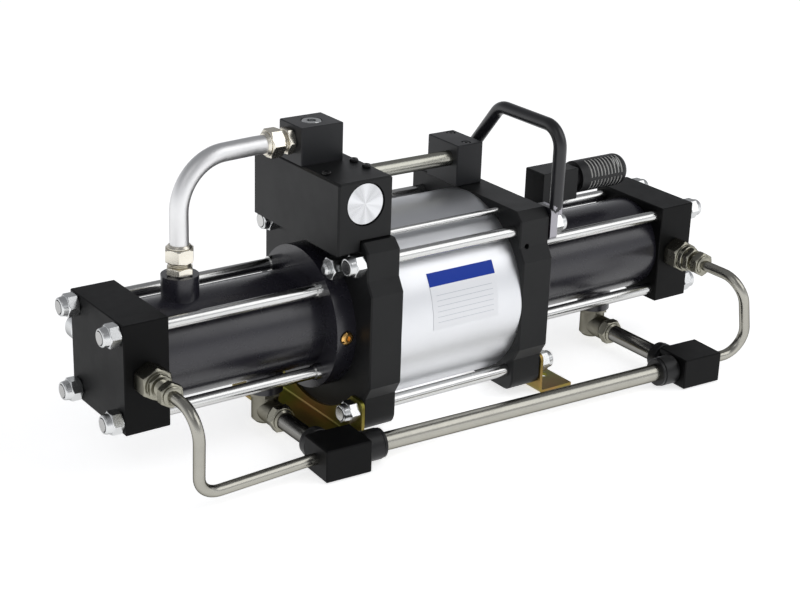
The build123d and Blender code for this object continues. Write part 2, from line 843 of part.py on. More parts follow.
# Cycling valve body: a block on the left head with a skirt in front of the head's outer face
with BuildPart() as valve_body:
    with BuildSketch(facing(-1, valve_half_length)) as valve_outline:
        with BuildLine():
            Polyline(
                (-valve_outer_x, valve_skirt_bottom),
                (-head_outer_x, valve_skirt_bottom),
                (-head_outer_x, head_half_height),
                (-valve_inner_x, head_half_height),
                (-valve_inner_x, valve_top),
                (-valve_outer_x, valve_top),
                close=True,
            )
        make_face()
        chamfer(valve_outline.vertices().group_by(Axis.Y)[-1], valve_edge_chamfer)
    extrude(amount=-2 * valve_half_length)
    chamfer(valve_body.faces().filter_by(Axis.Y).edges(), valve_end_chamfer)
    # Spool bore, plug seats and snap ring grooves at both ends
    spool_start = facing(1, -valve_half_length, -spool_x, spool_z)
    rod(spool_start, spool_radius + running_fit, 2 * valve_half_length, Mode.SUBTRACT)
    for way in (-1, 1):
        seat = facing(way, plug_seat_y, -spool_x, spool_z)
        rod(seat, valve_plug_diameter / 2, valve_half_length - plug_seat_y, Mode.SUBTRACT)
        groove = seat.offset(valve_plug_thickness)
        rod(groove, valve_plug_diameter / 2 + ring_groove_depth, ring_thickness, Mode.SUBTRACT)
    # Ports: left head, transfer tube, exhaust on top and the drive air inlet on the inner side
    port_length = spool_z - head_half_height
    port_plane = level(head_half_height, -air_port_x - valve_port_shift, left_air_port_y)
    rod(port_plane, air_port_diameter / 2, port_length, Mode.SUBTRACT)
    tube_seat_plane = outward(-1, valve_inner_x, transfer_tube_y, transfer_tube_z)
    rod(tube_seat_plane, transfer_radius + running_fit, tube_seat, Mode.SUBTRACT)
    side_drilling = spool_x - valve_inner_x
    rod(tube_seat_plane, air_port_diameter / 2, side_drilling, Mode.SUBTRACT)
    manifold_y = (manifold_front + manifold_back) / 2
    exhaust_plane = below(valve_top, -spool_x, manifold_y)
    rod(exhaust_plane, cooling_bore_radius, valve_top - spool_z, Mode.SUBTRACT)
    for plane in valve_screw_planes:
        start = plane.offset(-screw_shank_length)
        rod(start, screw_shank_diameter / 2, screw_shank_length, Mode.SUBTRACT)
    inlet_plane = outward(-1, valve_inner_x, inlet_y, inlet_z)
    rod(inlet_plane, inlet_diameter / 2, inlet_depth, Mode.SUBTRACT)
    rod(inlet_plane, air_port_diameter / 2, side_drilling, Mode.SUBTRACT)

# Spool that slides in the valve body, with grooves between its lands
with BuildPart() as valve_spool:
    spool_start = facing(1, -spool_half_length, -spool_x, spool_z)
    rod(spool_start, spool_radius, 2 * spool_half_length)
    for place in (-1, 0, 1):
        groove_y = place * spool_groove_spacing - spool_groove_width / 2
        groove_start = facing(1, groove_y, -spool_x, spool_z)
        groove_radius = spool_radius - spool_groove_depth
        ring(groove_start, spool_radius, groove_radius, spool_groove_width, Mode.SUBTRACT)

# End plugs of the spool bore, with a raised face inside the snap ring
with BuildPart() as valve_plugs:
    for way in (-1, 1):
        seat = facing(way, plug_seat_y, -spool_x, spool_z)
        rod(seat, valve_plug_diameter / 2 - running_fit, valve_plug_thickness)
        face_height = valve_plug_inset - valve_plug_face_drop
        rod(seat.offset(valve_plug_thickness), valve_plug_face_diameter / 2, face_height)

# Snap rings in their grooves, open at the lower side
with BuildPart() as snap_rings:
    for way in (-1, 1):
        ring_plane = facing(way, plug_seat_y + valve_plug_thickness, -spool_x, spool_z)
        outer = valve_plug_diameter / 2 + ring_groove_depth - seat_gap
        inner = valve_plug_face_diameter / 2 + seat_gap
        with BuildSketch(ring_plane):
            Circle(outer)
            Circle(inner, mode=Mode.SUBTRACT)
            gap_y = way * inner * cos(radians(ring_gap_angle))
            gap_z = inner * sin(radians(ring_gap_angle))
            with Locations((-gap_y, -gap_z)):
                Rectangle(
                    ring_gap_width,
                    ring_gap_reach,
                    rotation=way * (ring_gap_angle - 90.0),
                    mode=Mode.SUBTRACT,
                )
        extrude(amount=ring_thickness)

# Exhaust manifold: a block with a drilling up from the valve and out to the cooling tube
manifold_width = valve_outer_x - manifold_inner_x
manifold_top = valve_top + manifold_height
with BuildPart() as exhaust_manifold:
    manifold_x = -(valve_outer_x + manifold_inner_x) / 2
    with BuildSketch(level(valve_top, manifold_x, manifold_y)):
        Rectangle(manifold_width, manifold_back - manifold_front)
    block = extrude(amount=manifold_height)
    chamfer(block.edges().filter_by(Axis.Z), block_edge_chamfer)
    chamfer(exhaust_manifold.faces().sort_by(Axis.Z)[-1].edges(), block_edge_chamfer)
    rod(
        level(valve_top, -spool_x, manifold_y),
        cooling_bore_radius,
        manifold_port_rise,
        Mode.SUBTRACT,
    )
    rod(
        outward(-1, spool_x, manifold_y, manifold_port_z),
        cooling_bore_radius,
        valve_outer_x - spool_x,
        Mode.SUBTRACT,
    )
    plug_plane = level(manifold_top - manifold_plug_thickness, manifold_x, manifold_y)
    rod(plug_plane, manifold_plug_diameter / 2, manifold_plug_thickness, Mode.SUBTRACT)

# Socket plug in the manifold's top
with BuildPart() as manifold_plug:
    rod(plug_plane, manifold_plug_diameter / 2, manifold_plug_thickness)
    with BuildSketch(plug_plane.offset(manifold_plug_thickness)):
        RegularPolygon(socket_flats / 2, 6, major_radius=False)
    extrude(amount=-socket_depth, mode=Mode.SUBTRACT)
    rim = manifold_plug.edges().filter_by(GeomType.CIRCLE).group_by(Axis.Z)[-1]
    chamfer(rim, manifold_plug_chamfer)

# Transfer tube from the valve body to the block on the right head
transfer_start = -(valve_inner_x + tube_seat)
transfer_end = transfer_block_x + tube_seat
with BuildPart() as transfer_tube:
    ring(
        across(transfer_start, transfer_tube_y, transfer_tube_z),
        transfer_radius,
        transfer_radius - tube_wall,
        transfer_end - transfer_start,
    )

# Transfer block: turns the air from the tube down into the right head
with BuildPart() as transfer_block:
    block_depth = transfer_block_back - transfer_block_front
    block_y = (transfer_block_front + transfer_block_back) / 2
    with BuildSketch(level(head_half_height, block_x, block_y)):
        Rectangle(transfer_block_length, block_depth)
    block = extrude(amount=transfer_block_rise)
    chamfer(block.edges(), block_edge_chamfer)
    seat = across(transfer_block_x, transfer_tube_y, transfer_tube_z)
    rod(seat, transfer_radius + running_fit, tube_seat, Mode.SUBTRACT)
    rod(seat, air_port_diameter / 2, air_port_x - transfer_block_x, Mode.SUBTRACT)
    for plane in block_screw_planes:
        rod(plane, screw_sink_diameter / 2, screw_sink_depth, Mode.SUBTRACT)
        start = plane.offset(-screw_shank_length)
        rod(start, screw_shank_diameter / 2, screw_shank_length, Mode.SUBTRACT)
    down = below(transfer_tube_z, air_port_x, transfer_tube_y)
    rod(down, air_port_diameter / 2, transfer_tube_rise, Mode.SUBTRACT)

# Screws with low round heads, on the valve body and on the transfer block
with BuildPart() as cap_screws:
    for plane in valve_screw_planes + block_screw_planes:
        rod(plane, screw_head_diameter / 2, screw_head_height)
        rod(plane.offset(-screw_shank_length), screw_shank_diameter / 2, screw_shank_length)


def joint_adapter(face):
    """Hexagon adapter on a face, with a bore for the tube and a neck that its nut laps over."""
    hexagon(face, adapter_flats, adapter_height, cooling_bore_radius)
    neck_length = joint_neck_gap + joint_lap
    ring(face.offset(adapter_height), joint_neck_radius, cooling_radius, neck_length)


def joint_nut(start, flats, height):
    """Tube nut that laps over the end of a neck and closes onto the tube."""
    hexagon(start, flats, height, cooling_radius)
    rod(start, joint_neck_radius, joint_lap, Mode.SUBTRACT)


manifold_face = outward(-1, valve_outer_x, manifold_y, manifold_port_z)
boss_face = level(jacket_boss_top, -left_top_boss_x)

with BuildPart() as cooling_adapters:
    joint_adapter(manifold_face)
    joint_adapter(boss_face)

with BuildPart() as cooling_nuts:
    for face in (manifold_face, boss_face):
        start = face.offset(adapter_height + joint_neck_gap)
        joint_nut(start, joint_nut_flats, joint_nut_height)

# Polished cooling tube: up from the jacket, round a wide bend and across to the manifold
with BuildPart() as cooling_tube:
    tube_height = axis_height + manifold_port_z
    with BuildLine() as cooling_path:
        FilletPolyline(
            (-left_top_boss_x, 0, axis_height + jacket_boss_top + adapter_height),
            (-left_top_boss_x, 0, tube_height),
            (-valve_outer_x - cooling_tube_straight, manifold_y, tube_height),
            (-valve_outer_x - adapter_height, manifold_y, tube_height),
            radius=cooling_tube_bend,
        )
    with BuildSketch(Plane(origin=cooling_path.line @ 0, z_dir=cooling_path.line % 0)):
        Circle(cooling_radius)
        Circle(cooling_bore_radius, mode=Mode.SUBTRACT)
    sweep()


def elbow(x):
    """Elbow under a cooling jacket: an upright body with a branch that faces the front."""
    top = below(-jacket_boss_top, x)
    depth = elbow_fall + elbow_body_foot
    with BuildSketch(top) as section:
        Circle(elbow_body_diameter / 2)
    body = extrude(section.sketch, amount=depth)
    chamfer(body.faces().sort_by(Axis.Z)[0].edges(), elbow_body_chamfer)
    hexagon(top, elbow_hex_flats, elbow_hex_height)
    branch = facing(-1, 0, x, -elbow_drop)
    rod(branch, elbow_branch_diameter / 2, elbow_reach)
    rod(top, jacket_port_diameter / 2, elbow_fall + jacket_port_diameter / 2, Mode.SUBTRACT)
    rod(branch, elbow_bore_diameter / 2, elbow_reach, Mode.SUBTRACT)
    ring(branch.offset(elbow_reach), joint_neck_radius, cooling_radius, joint_lap)


with BuildPart() as elbows:
    elbow(-left_elbow_x)
    elbow(right_elbow_x)

with BuildPart() as elbow_nuts:
    for x in (-left_elbow_x, right_elbow_x):
        joint_nut(facing(-1, elbow_reach, x, -elbow_drop), elbow_nut_flats, elbow_nut_height)

# Back port of a tee block: where the back pipe enters it, square to the pipe
tee_ports = (
    (-left_elbow_x, left_tee_y + run_slope * (-left_elbow_x - left_tee_x)),
    (right_elbow_x, right_tee_y + run_slope * (right_elbow_x - right_tee_x)),
)
port_reach = tee_depth / 2 + tee_boss_height

# Back pipes from the elbows to the tee blocks
with BuildPart() as back_pipes:
    for x, y in tee_ports:
        pipe_end = y + port_reach
        ring(
            facing(-1, elbow_reach, x, -elbow_drop),
            cooling_radius,
            cooling_bore_radius,
            -pipe_end - elbow_reach,
        )

# Tee blocks: rectangular bodies with necks for the two nuts
with BuildPart() as tee_blocks:
    for tee, way in ((0, 1), (1, -1)):
        distance = tee * run_length
        middle = along_run(distance, way)
        back_x, back_y = tee_ports[tee]
        with BuildSketch(middle.offset(-tee_half_length)):
            Rectangle(tee_depth, tee_height)
        block = extrude(amount=tee_length)
        chamfer(block.edges(), tee_edge_chamfer)
        rod(middle, tee_neck_radius, tee_half_length + tee_neck_length)
        port = facing(1, back_y, back_x, -elbow_drop)
        boss_start = port.offset(tee_depth / 2 - tee_boss_height)
        rod(boss_start, tee_nut_radius, 2 * tee_boss_height)
        rod(boss_start, tee_neck_radius, 2 * tee_boss_height + tee_back_neck_length)
        # Bores for the two pipes, the annular chamber and the gas tube's gland
        rod(middle, cooling_bore_radius, tee_half_length + tee_neck_length, Mode.SUBTRACT)
        rod(
            middle.offset(tee_half_length - tee_tube_seat),
            cooling_radius,
            tee_tube_seat + tee_neck_length,
            Mode.SUBTRACT,
        )
        rod(middle.offset(-tee_half_length), gas_tube_radius, tee_half_length, Mode.SUBTRACT)
        rod(port, cooling_bore_radius, port_reach + tee_back_neck_length, Mode.SUBTRACT)
        rod(port.offset(port_reach), cooling_radius, tee_back_neck_length, Mode.SUBTRACT)

with BuildPart() as tee_nuts:
    for tee, way in ((0, 1), (1, -1)):
        middle = along_run(tee * run_length, way)
        back_x, back_y = tee_ports[tee]
        port = facing(1, back_y, back_x, -elbow_drop)
        for seat, nut_length, neck_length in (
            (middle.offset(tee_half_length), tee_nut_length, tee_neck_length),
            (port.offset(port_reach), tee_back_nut_length, tee_back_neck_length),
        ):
            ring(seat, tee_nut_radius, cooling_radius, nut_length)
            rod(seat, tee_neck_radius, neck_length, Mode.SUBTRACT)

# Intercooler tube between the tee blocks
with BuildPart() as intercooler_tube:
    start = tee_half_length - tee_tube_seat
    ring(along_run(start), cooling_radius, cooling_bore_radius, run_length - 2 * start)


def run_point(distance):
    """Point on the axis of the front pipe run."""
    return tuple(front_run.from_local_coords(Vector(distance, 0, 0)))


# Gas tube: from the first stage, through both tee blocks, to the second stage
fitting_face = cap_half + fitting_hex_length + fitting_second_length
tube_end_y = -(fitting_face + fitting_neck_length - gas_tube_seat)
with BuildPart() as gas_tube:
    with BuildLine() as gas_path:
        FilletPolyline(
            (-port_x, tube_end_y, axis_height),
            (-port_x, left_cap_bend_y, axis_height),
            (left_run_bend_offset - port_x, left_run_bend_y, axis_height - elbow_drop),
            run_point(-tee_half_length - left_run_straight),
            run_point(run_length + right_run_bend_reach),
            (port_x, right_cap_bend_y, axis_height),
            (port_x, tube_end_y, axis_height),
            radius=gas_tube_bend,
        )
    with BuildSketch(Plane(origin=gas_path.line @ 0, z_dir=gas_path.line % 0)):
        Circle(gas_tube_radius)
        Circle(gas_tube_bore_radius, mode=Mode.SUBTRACT)
    sweep()


def check_cavity(face, depth):
    """Cuts the check valve cavity and the passage that runs on from it."""
    rod(face.offset(-fitting_shank_length), gas_passage_diameter / 2, depth, Mode.SUBTRACT)
    start = face.offset(check_cavity_start)
    rod(start, check_cavity_diameter / 2, check_cavity_length, Mode.SUBTRACT)


# Interstage fittings on the front of the caps, each with a check valve cavity
with BuildPart() as interstage_fittings:
    for side in (-1, 1):
        face = facing(-1, cap_half, side * port_x)
        rod(face.offset(-fitting_shank_length), fitting_shank_diameter / 2, fitting_shank_length)
        hexagon(face, fitting_flats, fitting_hex_length, turn=fitting_turn)
        second = face.offset(fitting_hex_length)
        hexagon(second, fitting_second_flats, fitting_second_length, turn=fitting_turn)
        neck = second.offset(fitting_second_length)
        rod(neck, fitting_neck_diameter / 2, fitting_neck_length)
        inner_length = fitting_hex_length + fitting_second_length + fitting_neck_length
        check_cavity(face, fitting_shank_length + inner_length)
        mouth = neck.offset(fitting_neck_length - gas_tube_seat)
        rod(mouth, gas_tube_radius, gas_tube_seat, Mode.SUBTRACT)

# Nuts that hold the gas tube in the interstage fittings
with BuildPart() as gas_tube_nuts:
    for side in (-1, 1):
        seat = facing(-1, fitting_face + fitting_neck_length - gas_nut_lap, side * port_x)
        hexagon(seat, gas_nut_flats, gas_nut_length, gas_tube_radius, fitting_turn)
        rod(seat, fitting_neck_diameter / 2, gas_nut_lap, Mode.SUBTRACT)

# Gas inlet on the first stage and gas outlet on the second, at the back
with BuildPart() as gas_port_fittings:
    for side in (-1, 1):
        face = facing(1, cap_half, side * port_x)
        rod(face.offset(-fitting_shank_length), fitting_shank_diameter / 2, fitting_shank_length)
        hexagon(face, port_flats, port_hex_length)
        rod(face.offset(port_hex_length), port_body_diameter / 2, port_body_length)
        check_cavity(face, fitting_shank_length + port_hex_length + port_body_length)
        port_start = face.offset(port_hex_length + port_body_length - gas_port_depth)
        rod(port_start, gas_port_diameter / 2, gas_port_depth, Mode.SUBTRACT)


def poppet(side, way, seat_outside):
    """Check valve poppet on its seat, at the outer or the inner end of its cavity."""
    start = cap_half + check_cavity_start
    x = side * port_x
    if seat_outside:
        seat = facing(-way, -(start + check_cavity_length), x)
    else:
        seat = facing(way, start, x)
    rod(seat, poppet_diameter / 2, poppet_thickness)
    rod(seat.offset(poppet_thickness), poppet_guide_diameter / 2, poppet_guide_length)


with BuildPart() as first_inlet_poppet:
    poppet(-1, 1, True)

with BuildPart() as first_outlet_poppet:
    poppet(-1, -1, False)

with BuildPart() as second_inlet_poppet:
    poppet(1, -1, True)

with BuildPart() as second_outlet_poppet:
    poppet(1, 1, False)

# Muffler block on the right jacket, turned to face along the pump
with BuildPart() as muffler_block:
    block_length = muffler_block_end - muffler_block_start
    with BuildSketch(level(jacket_boss_top, (muffler_block_start + muffler_block_end) / 2)):
        Rectangle(block_length, 2 * muffler_block_half_width)
    block = extrude(amount=muffler_block_height)
    chamfer(block.edges(), block_edge_chamfer)
    rod(
        level(jacket_boss_top, right_top_boss_x),
        jacket_port_diameter / 2,
        muffler_rise,
        Mode.SUBTRACT,
    )
    rod(
        across(right_top_boss_x, 0, muffler_z),
        jacket_port_diameter / 2,
        muffler_block_end - right_top_boss_x,
        Mode.SUBTRACT,
    )

# Muffler: a hollow bullet with rows of slots round it
with BuildPart() as muffler:
    neck = across(muffler_block_end, 0, muffler_z)
    rod(neck, muffler_neck_diameter / 2, muffler_neck_length)
    body = neck.offset(muffler_neck_length)
    rod(body, muffler_diameter / 2, muffler_length)
    fillet(muffler.faces().sort_by(Axis.X)[-1].edges(), muffler_end_radius)
    bore_length = muffler_neck_length + muffler_length - muffler_wall
    rod(neck, jacket_port_diameter / 2, bore_length, Mode.SUBTRACT)
    for slot in range(muffler_slot_count):
        with BuildSketch(body.offset(muffler_slot_start + slot * muffler_slot_spacing)):
            Circle(muffler_diameter / 2)
            Circle(muffler_diameter / 2 - muffler_slot_depth, mode=Mode.SUBTRACT)
            Rectangle(muffler_rib_width, muffler_diameter, mode=Mode.SUBTRACT)
            Rectangle(muffler_diameter, muffler_rib_width, mode=Mode.SUBTRACT)
        extrude(amount=muffler_slot_width, mode=Mode.SUBTRACT)

# Carrying handle: a bent bar welded to two tabs that share the right top tie rods
with BuildPart() as handle:
    bar_end = handle_tab_top - handle_weld
    handle_front_y = -drive_rod_y - handle_front_offset
    handle_top_z = head_half_height + handle_rise
    with BuildLine(across(handle_face_x)) as handle_path:
        FilletPolyline(
            (handle_front_y, bar_end),
            (handle_front_y, handle_top_z),
            (handle_rear_corner_y, handle_top_z),
            (drive_rod_y + handle_rear_offset, bar_end),
            radius=handle_bend,
        )
    with BuildSketch(Plane(origin=handle_path.line @ 0, z_dir=handle_path.line % 0)):
        Circle(handle_bar_diameter / 2)
    sweep()
    tab_height = handle_tab_top - handle_tab_bottom
    with BuildSketch(across(head_outer_x, 0, (handle_tab_bottom + handle_tab_top) / 2)):
        with GridLocations(2 * drive_rod_y, 0, 2, 1):
            RectangleRounded(handle_tab_width, tab_height, handle_tab_corner)
    extrude(amount=handle_tab_thickness)
    with BuildSketch(across(head_outer_x, 0, drive_rod_z)):
        with GridLocations(2 * drive_rod_y, 0, 2, 1):
            Circle(rod_hole_radius)
    extrude(amount=handle_tab_thickness, mode=Mode.SUBTRACT)

# Feet: bent plates under the bottom tie rods, cut out round the pump axis
with BuildPart() as feet:
    with BuildSketch(facing(-1, foot_half_width)) as foot_profile:
        with BuildLine():
            Polyline(
                (head_outer_x, foot_top_z),
                (head_outer_x, -axis_height),
                (head_outer_x + foot_run, -axis_height),
                (head_outer_x + foot_run, foot_thickness - axis_height),
                (foot_face_x, foot_thickness - axis_height),
                (foot_face_x, foot_top_z),
                close=True,
            )
        make_face()
        corners = foot_profile.vertices().filter_by_position(
            Axis.X, head_outer_x - foot_thickness, foot_face_x + foot_thickness
        ).group_by(Axis.Y)
        fillet(corners[1], foot_bend)
        outer_corner = foot_profile.vertices().group_by(Axis.Y)[0].sort_by(Axis.X)[0]
        fillet(outer_corner, foot_bend + foot_thickness)
    extrude(amount=-2 * foot_half_width)
    fillet(feet.edges().filter_by(Axis.X).group_by(Axis.Z)[-1], foot_corner_radius)
    cutout_radius = barrel_outer_radius - foot_cutout_inset
    rod(across(head_outer_x), cutout_radius, foot_thickness, Mode.SUBTRACT)
    with BuildSketch(across(head_outer_x, 0, -drive_rod_z)):
        with GridLocations(2 * drive_rod_y, 0, 2, 1):
            Circle(rod_hole_radius)
    extrude(amount=foot_thickness, mode=Mode.SUBTRACT)
    with BuildSketch(level(-axis_height, head_outer_x + foot_run - foot_hole_inset)):
        with GridLocations(0, foot_hole_spacing, 1, 2):
            Circle(foot_hole_diameter / 2)
    extrude(amount=foot_thickness, mode=Mode.SUBTRACT)
    mirror(about=Plane.YZ)

# Label plate, a thin sheet that follows the front of the barrel
with BuildPart() as label_plate:
    with BuildSketch(across(label_start_x)):
        with BuildLine():
            first_angle = 180.0 - label_top_angle
            span = label_top_angle - label_bottom_angle
            inner = CenterArc((0, 0), barrel_outer_radius + label_gap, first_angle, span)
            outer = CenterArc((0, 0), inner.radius + label_thickness, first_angle, span)
            Line(inner @ 0, outer @ 0)
            Line(inner @ 1, outer @ 1)
        make_face()
    extrude(amount=label_length)

export(air_barrel, "air_barrel")
export(left_drive_head, "left_drive_head")
export(right_drive_head, "right_drive_head")
export(drive_tie_rods, "drive_tie_rods")
export(gas_tie_rods, "gas_tie_rods")
export(tie_rod_nuts, "tie_rod_nuts")
export(gas_flanges, "gas_flanges")
export(vent_plugs, "vent_plugs")
export(left_cooling_jacket, "left_cooling_jacket")
export(right_cooling_jacket, "right_cooling_jacket")
export(left_gas_liner, "left_gas_liner")
export(right_gas_liner, "right_gas_liner")
export(left_end_cap, "left_end_cap")
export(right_end_cap, "right_end_cap")
export(drive_piston, "drive_piston")
export(piston_rod, "piston_rod")
export(left_gas_piston, "left_gas_piston")
export(right_gas_piston, "right_gas_piston")
export(piston_seals, "piston_seals")
export(rod_bushes, "rod_bushes")
export(rod_seals, "rod_seals")
export(left_pilot_stem, "left_pilot_stem")
export(right_pilot_stem, "right_pilot_stem")
export(pilot_plugs, "pilot_plugs")
export(signal_tube, "signal_tube")
export(valve_body, "valve_body")
export(valve_spool, "valve_spool")
export(valve_plugs, "valve_plugs")
export(snap_rings, "snap_rings")
export(exhaust_manifold, "exhaust_manifold")
export(manifold_plug, "manifold_plug")
export(transfer_tube, "transfer_tube")
export(transfer_block, "transfer_block")
export(cap_screws, "cap_screws")
export(cooling_adapters, "cooling_adapters")
export(cooling_nuts, "cooling_nuts")
export(cooling_tube, "cooling_tube")
export(elbows, "elbows")
export(elbow_nuts, "elbow_nuts")
export(back_pipes, "back_pipes")
export(tee_blocks, "tee_blocks")
export(tee_nuts, "tee_nuts")
export(intercooler_tube, "intercooler_tube")
export(gas_tube, "gas_tube")
export(interstage_fittings, "interstage_fittings")
export(gas_tube_nuts, "gas_tube_nuts")
export(gas_port_fittings, "gas_port_fittings")
export(first_inlet_poppet, "first_inlet_poppet")
export(first_outlet_poppet, "first_outlet_poppet")
export(second_inlet_poppet, "second_inlet_poppet")
export(second_outlet_poppet, "second_outlet_poppet")
export(muffler_block, "muffler_block")
export(muffler, "muffler")
export(handle, "handle")
export(feet, "feet")
export(label_plate, "label_plate")
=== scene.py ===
import json
import math

import bmesh
import bpy
from bpy.props import FloatProperty, FloatVectorProperty, IntProperty, PointerProperty
from mathutils import Matrix, Vector


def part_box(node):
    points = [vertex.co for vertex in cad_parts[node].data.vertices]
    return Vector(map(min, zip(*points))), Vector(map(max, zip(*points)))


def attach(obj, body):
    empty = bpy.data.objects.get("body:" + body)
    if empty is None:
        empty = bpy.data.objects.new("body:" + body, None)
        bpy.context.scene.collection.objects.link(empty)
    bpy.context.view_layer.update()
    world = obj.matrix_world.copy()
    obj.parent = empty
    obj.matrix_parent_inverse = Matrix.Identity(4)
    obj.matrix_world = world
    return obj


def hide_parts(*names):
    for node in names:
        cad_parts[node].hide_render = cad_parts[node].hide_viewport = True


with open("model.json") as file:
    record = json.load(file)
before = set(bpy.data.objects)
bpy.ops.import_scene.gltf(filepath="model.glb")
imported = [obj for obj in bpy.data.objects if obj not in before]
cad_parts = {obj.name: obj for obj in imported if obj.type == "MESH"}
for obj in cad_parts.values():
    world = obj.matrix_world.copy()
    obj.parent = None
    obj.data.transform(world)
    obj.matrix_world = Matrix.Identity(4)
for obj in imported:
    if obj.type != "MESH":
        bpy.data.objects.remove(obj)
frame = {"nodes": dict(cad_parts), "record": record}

bl_info = {
    "name": "Gas booster pump dresser",
    "version": (1, 0, 0),
    "blender": (4, 5, 0),
    "location": "View3D > Sidebar > Pump",
    "description": "Adds finishes, nuts, fittings and a studio to the gas booster pump",
    "category": "Object",
}

MM = 0.001
NODES = frame["nodes"]
BARREL_LOW, BARREL_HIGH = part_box("air_barrel")
AXIS_Z = (BARREL_LOW.z + BARREL_HIGH.z) / 2
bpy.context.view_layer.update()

# Turned pieces

THREAD_PITCH = 1.3 * MM
THREAD_DEPTH = 0.7 * MM
STEP_CHAMFER = 0.6 * MM
SHARP_ANGLE = math.radians(30)

# Radius of a hexagon's flat end over half the width across its flats, the slope at which its corners
# are cut, and the steps of the cut
HEXAGON_FACE = 0.965
HEXAGON_CHAMFER = math.radians(32)
CHAMFER_STEPS = 4

# Width across the flats of a hexagon socket over the radius that rounds its corners
SOCKET_FLATS = 1.78

# Collar of a lock nut: how far its foot spreads, its rolled rim, its wall, its lip and its depth
COLLAR_FOOT = 0.6 * MM
COLLAR_ROLL = 1.7 * MM
COLLAR_WALL = 1.9 * MM
COLLAR_LIP = 0.2 * MM
COLLAR_DEPTH = 3.0 * MM

# The insert sinks a little into the collar's wall. Its profile is how far each point lies below the
# collar's top, and how far in from that wall, in millimetres.
INSERT_SINK = 0.02 * MM
INSERT_PROFILE = ((3.2, 0.0), (1.9, 0.0), (1.6, 0.4), (1.8, 0.7))

# Nuts of the tee blocks, with lengths in millimetres. Those on the intercooler tube follow its run,
# which comes a little forward from left to right.
BACK_NUT_LENGTH, RUN_NUT_LENGTH = 11.0, 20.0
NUT_RIM, NUT_SHOULDER = 1.4, 3.4
NUT_STEPS = 64
RUN_WAY = Vector((0.9989, -0.0465, 0.0))

# Finishes

STEEL_COAT = (0.008, 0.008, 0.0085)
HANDLE_COAT = (0.012, 0.012, 0.015)
HANDLE_STEEL = (0.36, 0.35, 0.38)
PLASTIC_BLACK = (0.012, 0.012, 0.013)
# Painted light seen through the muffler's slots
PAINTED_SLOT_LIGHT = (0.86, 0.86, 0.84)
RUBBER_BLACK = (0.02, 0.02, 0.02)

# The yellow's red, green and blue are multiplied by these in its green and in its rose clouds
GREEN_CLOUD = (0.8, 1.05, 0.8)
ROSE_CLOUD = (1.15, 0.92, 1.3)

# How much darker a rougher patch of a finish is, over how much rougher it is
SMUDGE_SHADE = 1.2

# Faced ends of the valve plugs: how fast the streaks change round them, the rings to a metre, and the
# shade and roughness between streaks, with what a full streak adds. The streaks are painted highlights:
# bright reflections of a turned face, painted into the colour.
STREAKING = 1.9
FACE_RINGS = 2400.0
FACE_SHADE, STREAK_HIGHLIGHT = 0.42, 0.9
FACE_ROUGHNESS, STREAK_ROUGHNESS = 0.14, 0.3

# Bare steel reaches this far up the handle's ends, less a ragged edge that is up to so deep
HANDLE_BARE = 47 * MM
HANDLE_RAGGED = 40 * MM

# The muffler's slots lie between its neck and its end. Below its skin they are painted pale, as painted
# light seen through the slots
MUFFLER_NECK = 9 * MM
MUFFLER_END = 8 * MM
MUFFLER_SKIN = 0.5 * MM

# Label: where its band and its rules lie, in degrees up the barrel from the front. A rule fills a
# share of the spacing, and stops at a margin from the sheet's ends.
BAND_FROM = 24.8
RULES_FROM, RULES_TO = 2.0, 21.5
RULE_SPACING = 3.2
RULE_SHARE = 0.09
LABEL_MARGIN = 5 * MM
LABEL_FOIL = (0.86, 0.87, 0.89)
LABEL_RULE = (0.56, 0.58, 0.62)
FOIL_METALLIC = 0.7

# Studio

FLOOR_REACH = 12.0
FLOOR_COLOUR = (0.9, 0.9, 0.9)
FLOOR_GLOW = 0.70

# Each lamp has a name, a place, a width and its share of the key light's power
LAMPS = (
    ("Key", (1.4, -1.4, 1.75), 1.8, 1.0),
    ("Fill", (-1.5, -0.9, 1.9), 1.2, 0.2),
)

# The world's colour at two heights of a direction, which go from 0 at the horizon to 1 overhead
LOW_SKY = (0.12, (0.96, 0.97, 1.0))
HIGH_SKY = (0.62, (0.34, 0.345, 0.36))

# The background is seen white low down, and fades below this height to the sky's own colour
WHITE_UP_TO = 0.18
WHITE_FADE = 0.08
WHITE_STRENGTH = 1.05

# The camera's place, with its height from the barrel's axis, its angles in degrees, the width of its
# sensor in millimetres and how far it sees
CAMERA_X, CAMERA_Y, CAMERA_RISE = -0.8571, -1.1754, 0.5700
CAMERA_AZIMUTH, CAMERA_ELEVATION, CAMERA_ROLL = 35.88, 21.70, 1.956
SENSOR_WIDTH = 36.0
VIEW_REACH = 60.0

# Node groups and materials by name, which the Finishes operator fills

GROUPS = {}
FINISH = {}


# Settings that a user would change


def colour_setting(name, description, default):
    """Property that holds a finish's colour."""
    return FloatVectorProperty(name=name, description=description, subtype="COLOR", default=default)


def length_setting(name, description, default):
    """Property that holds a length in metres."""
    return FloatProperty(name=name, description=description, subtype="DISTANCE", default=default)


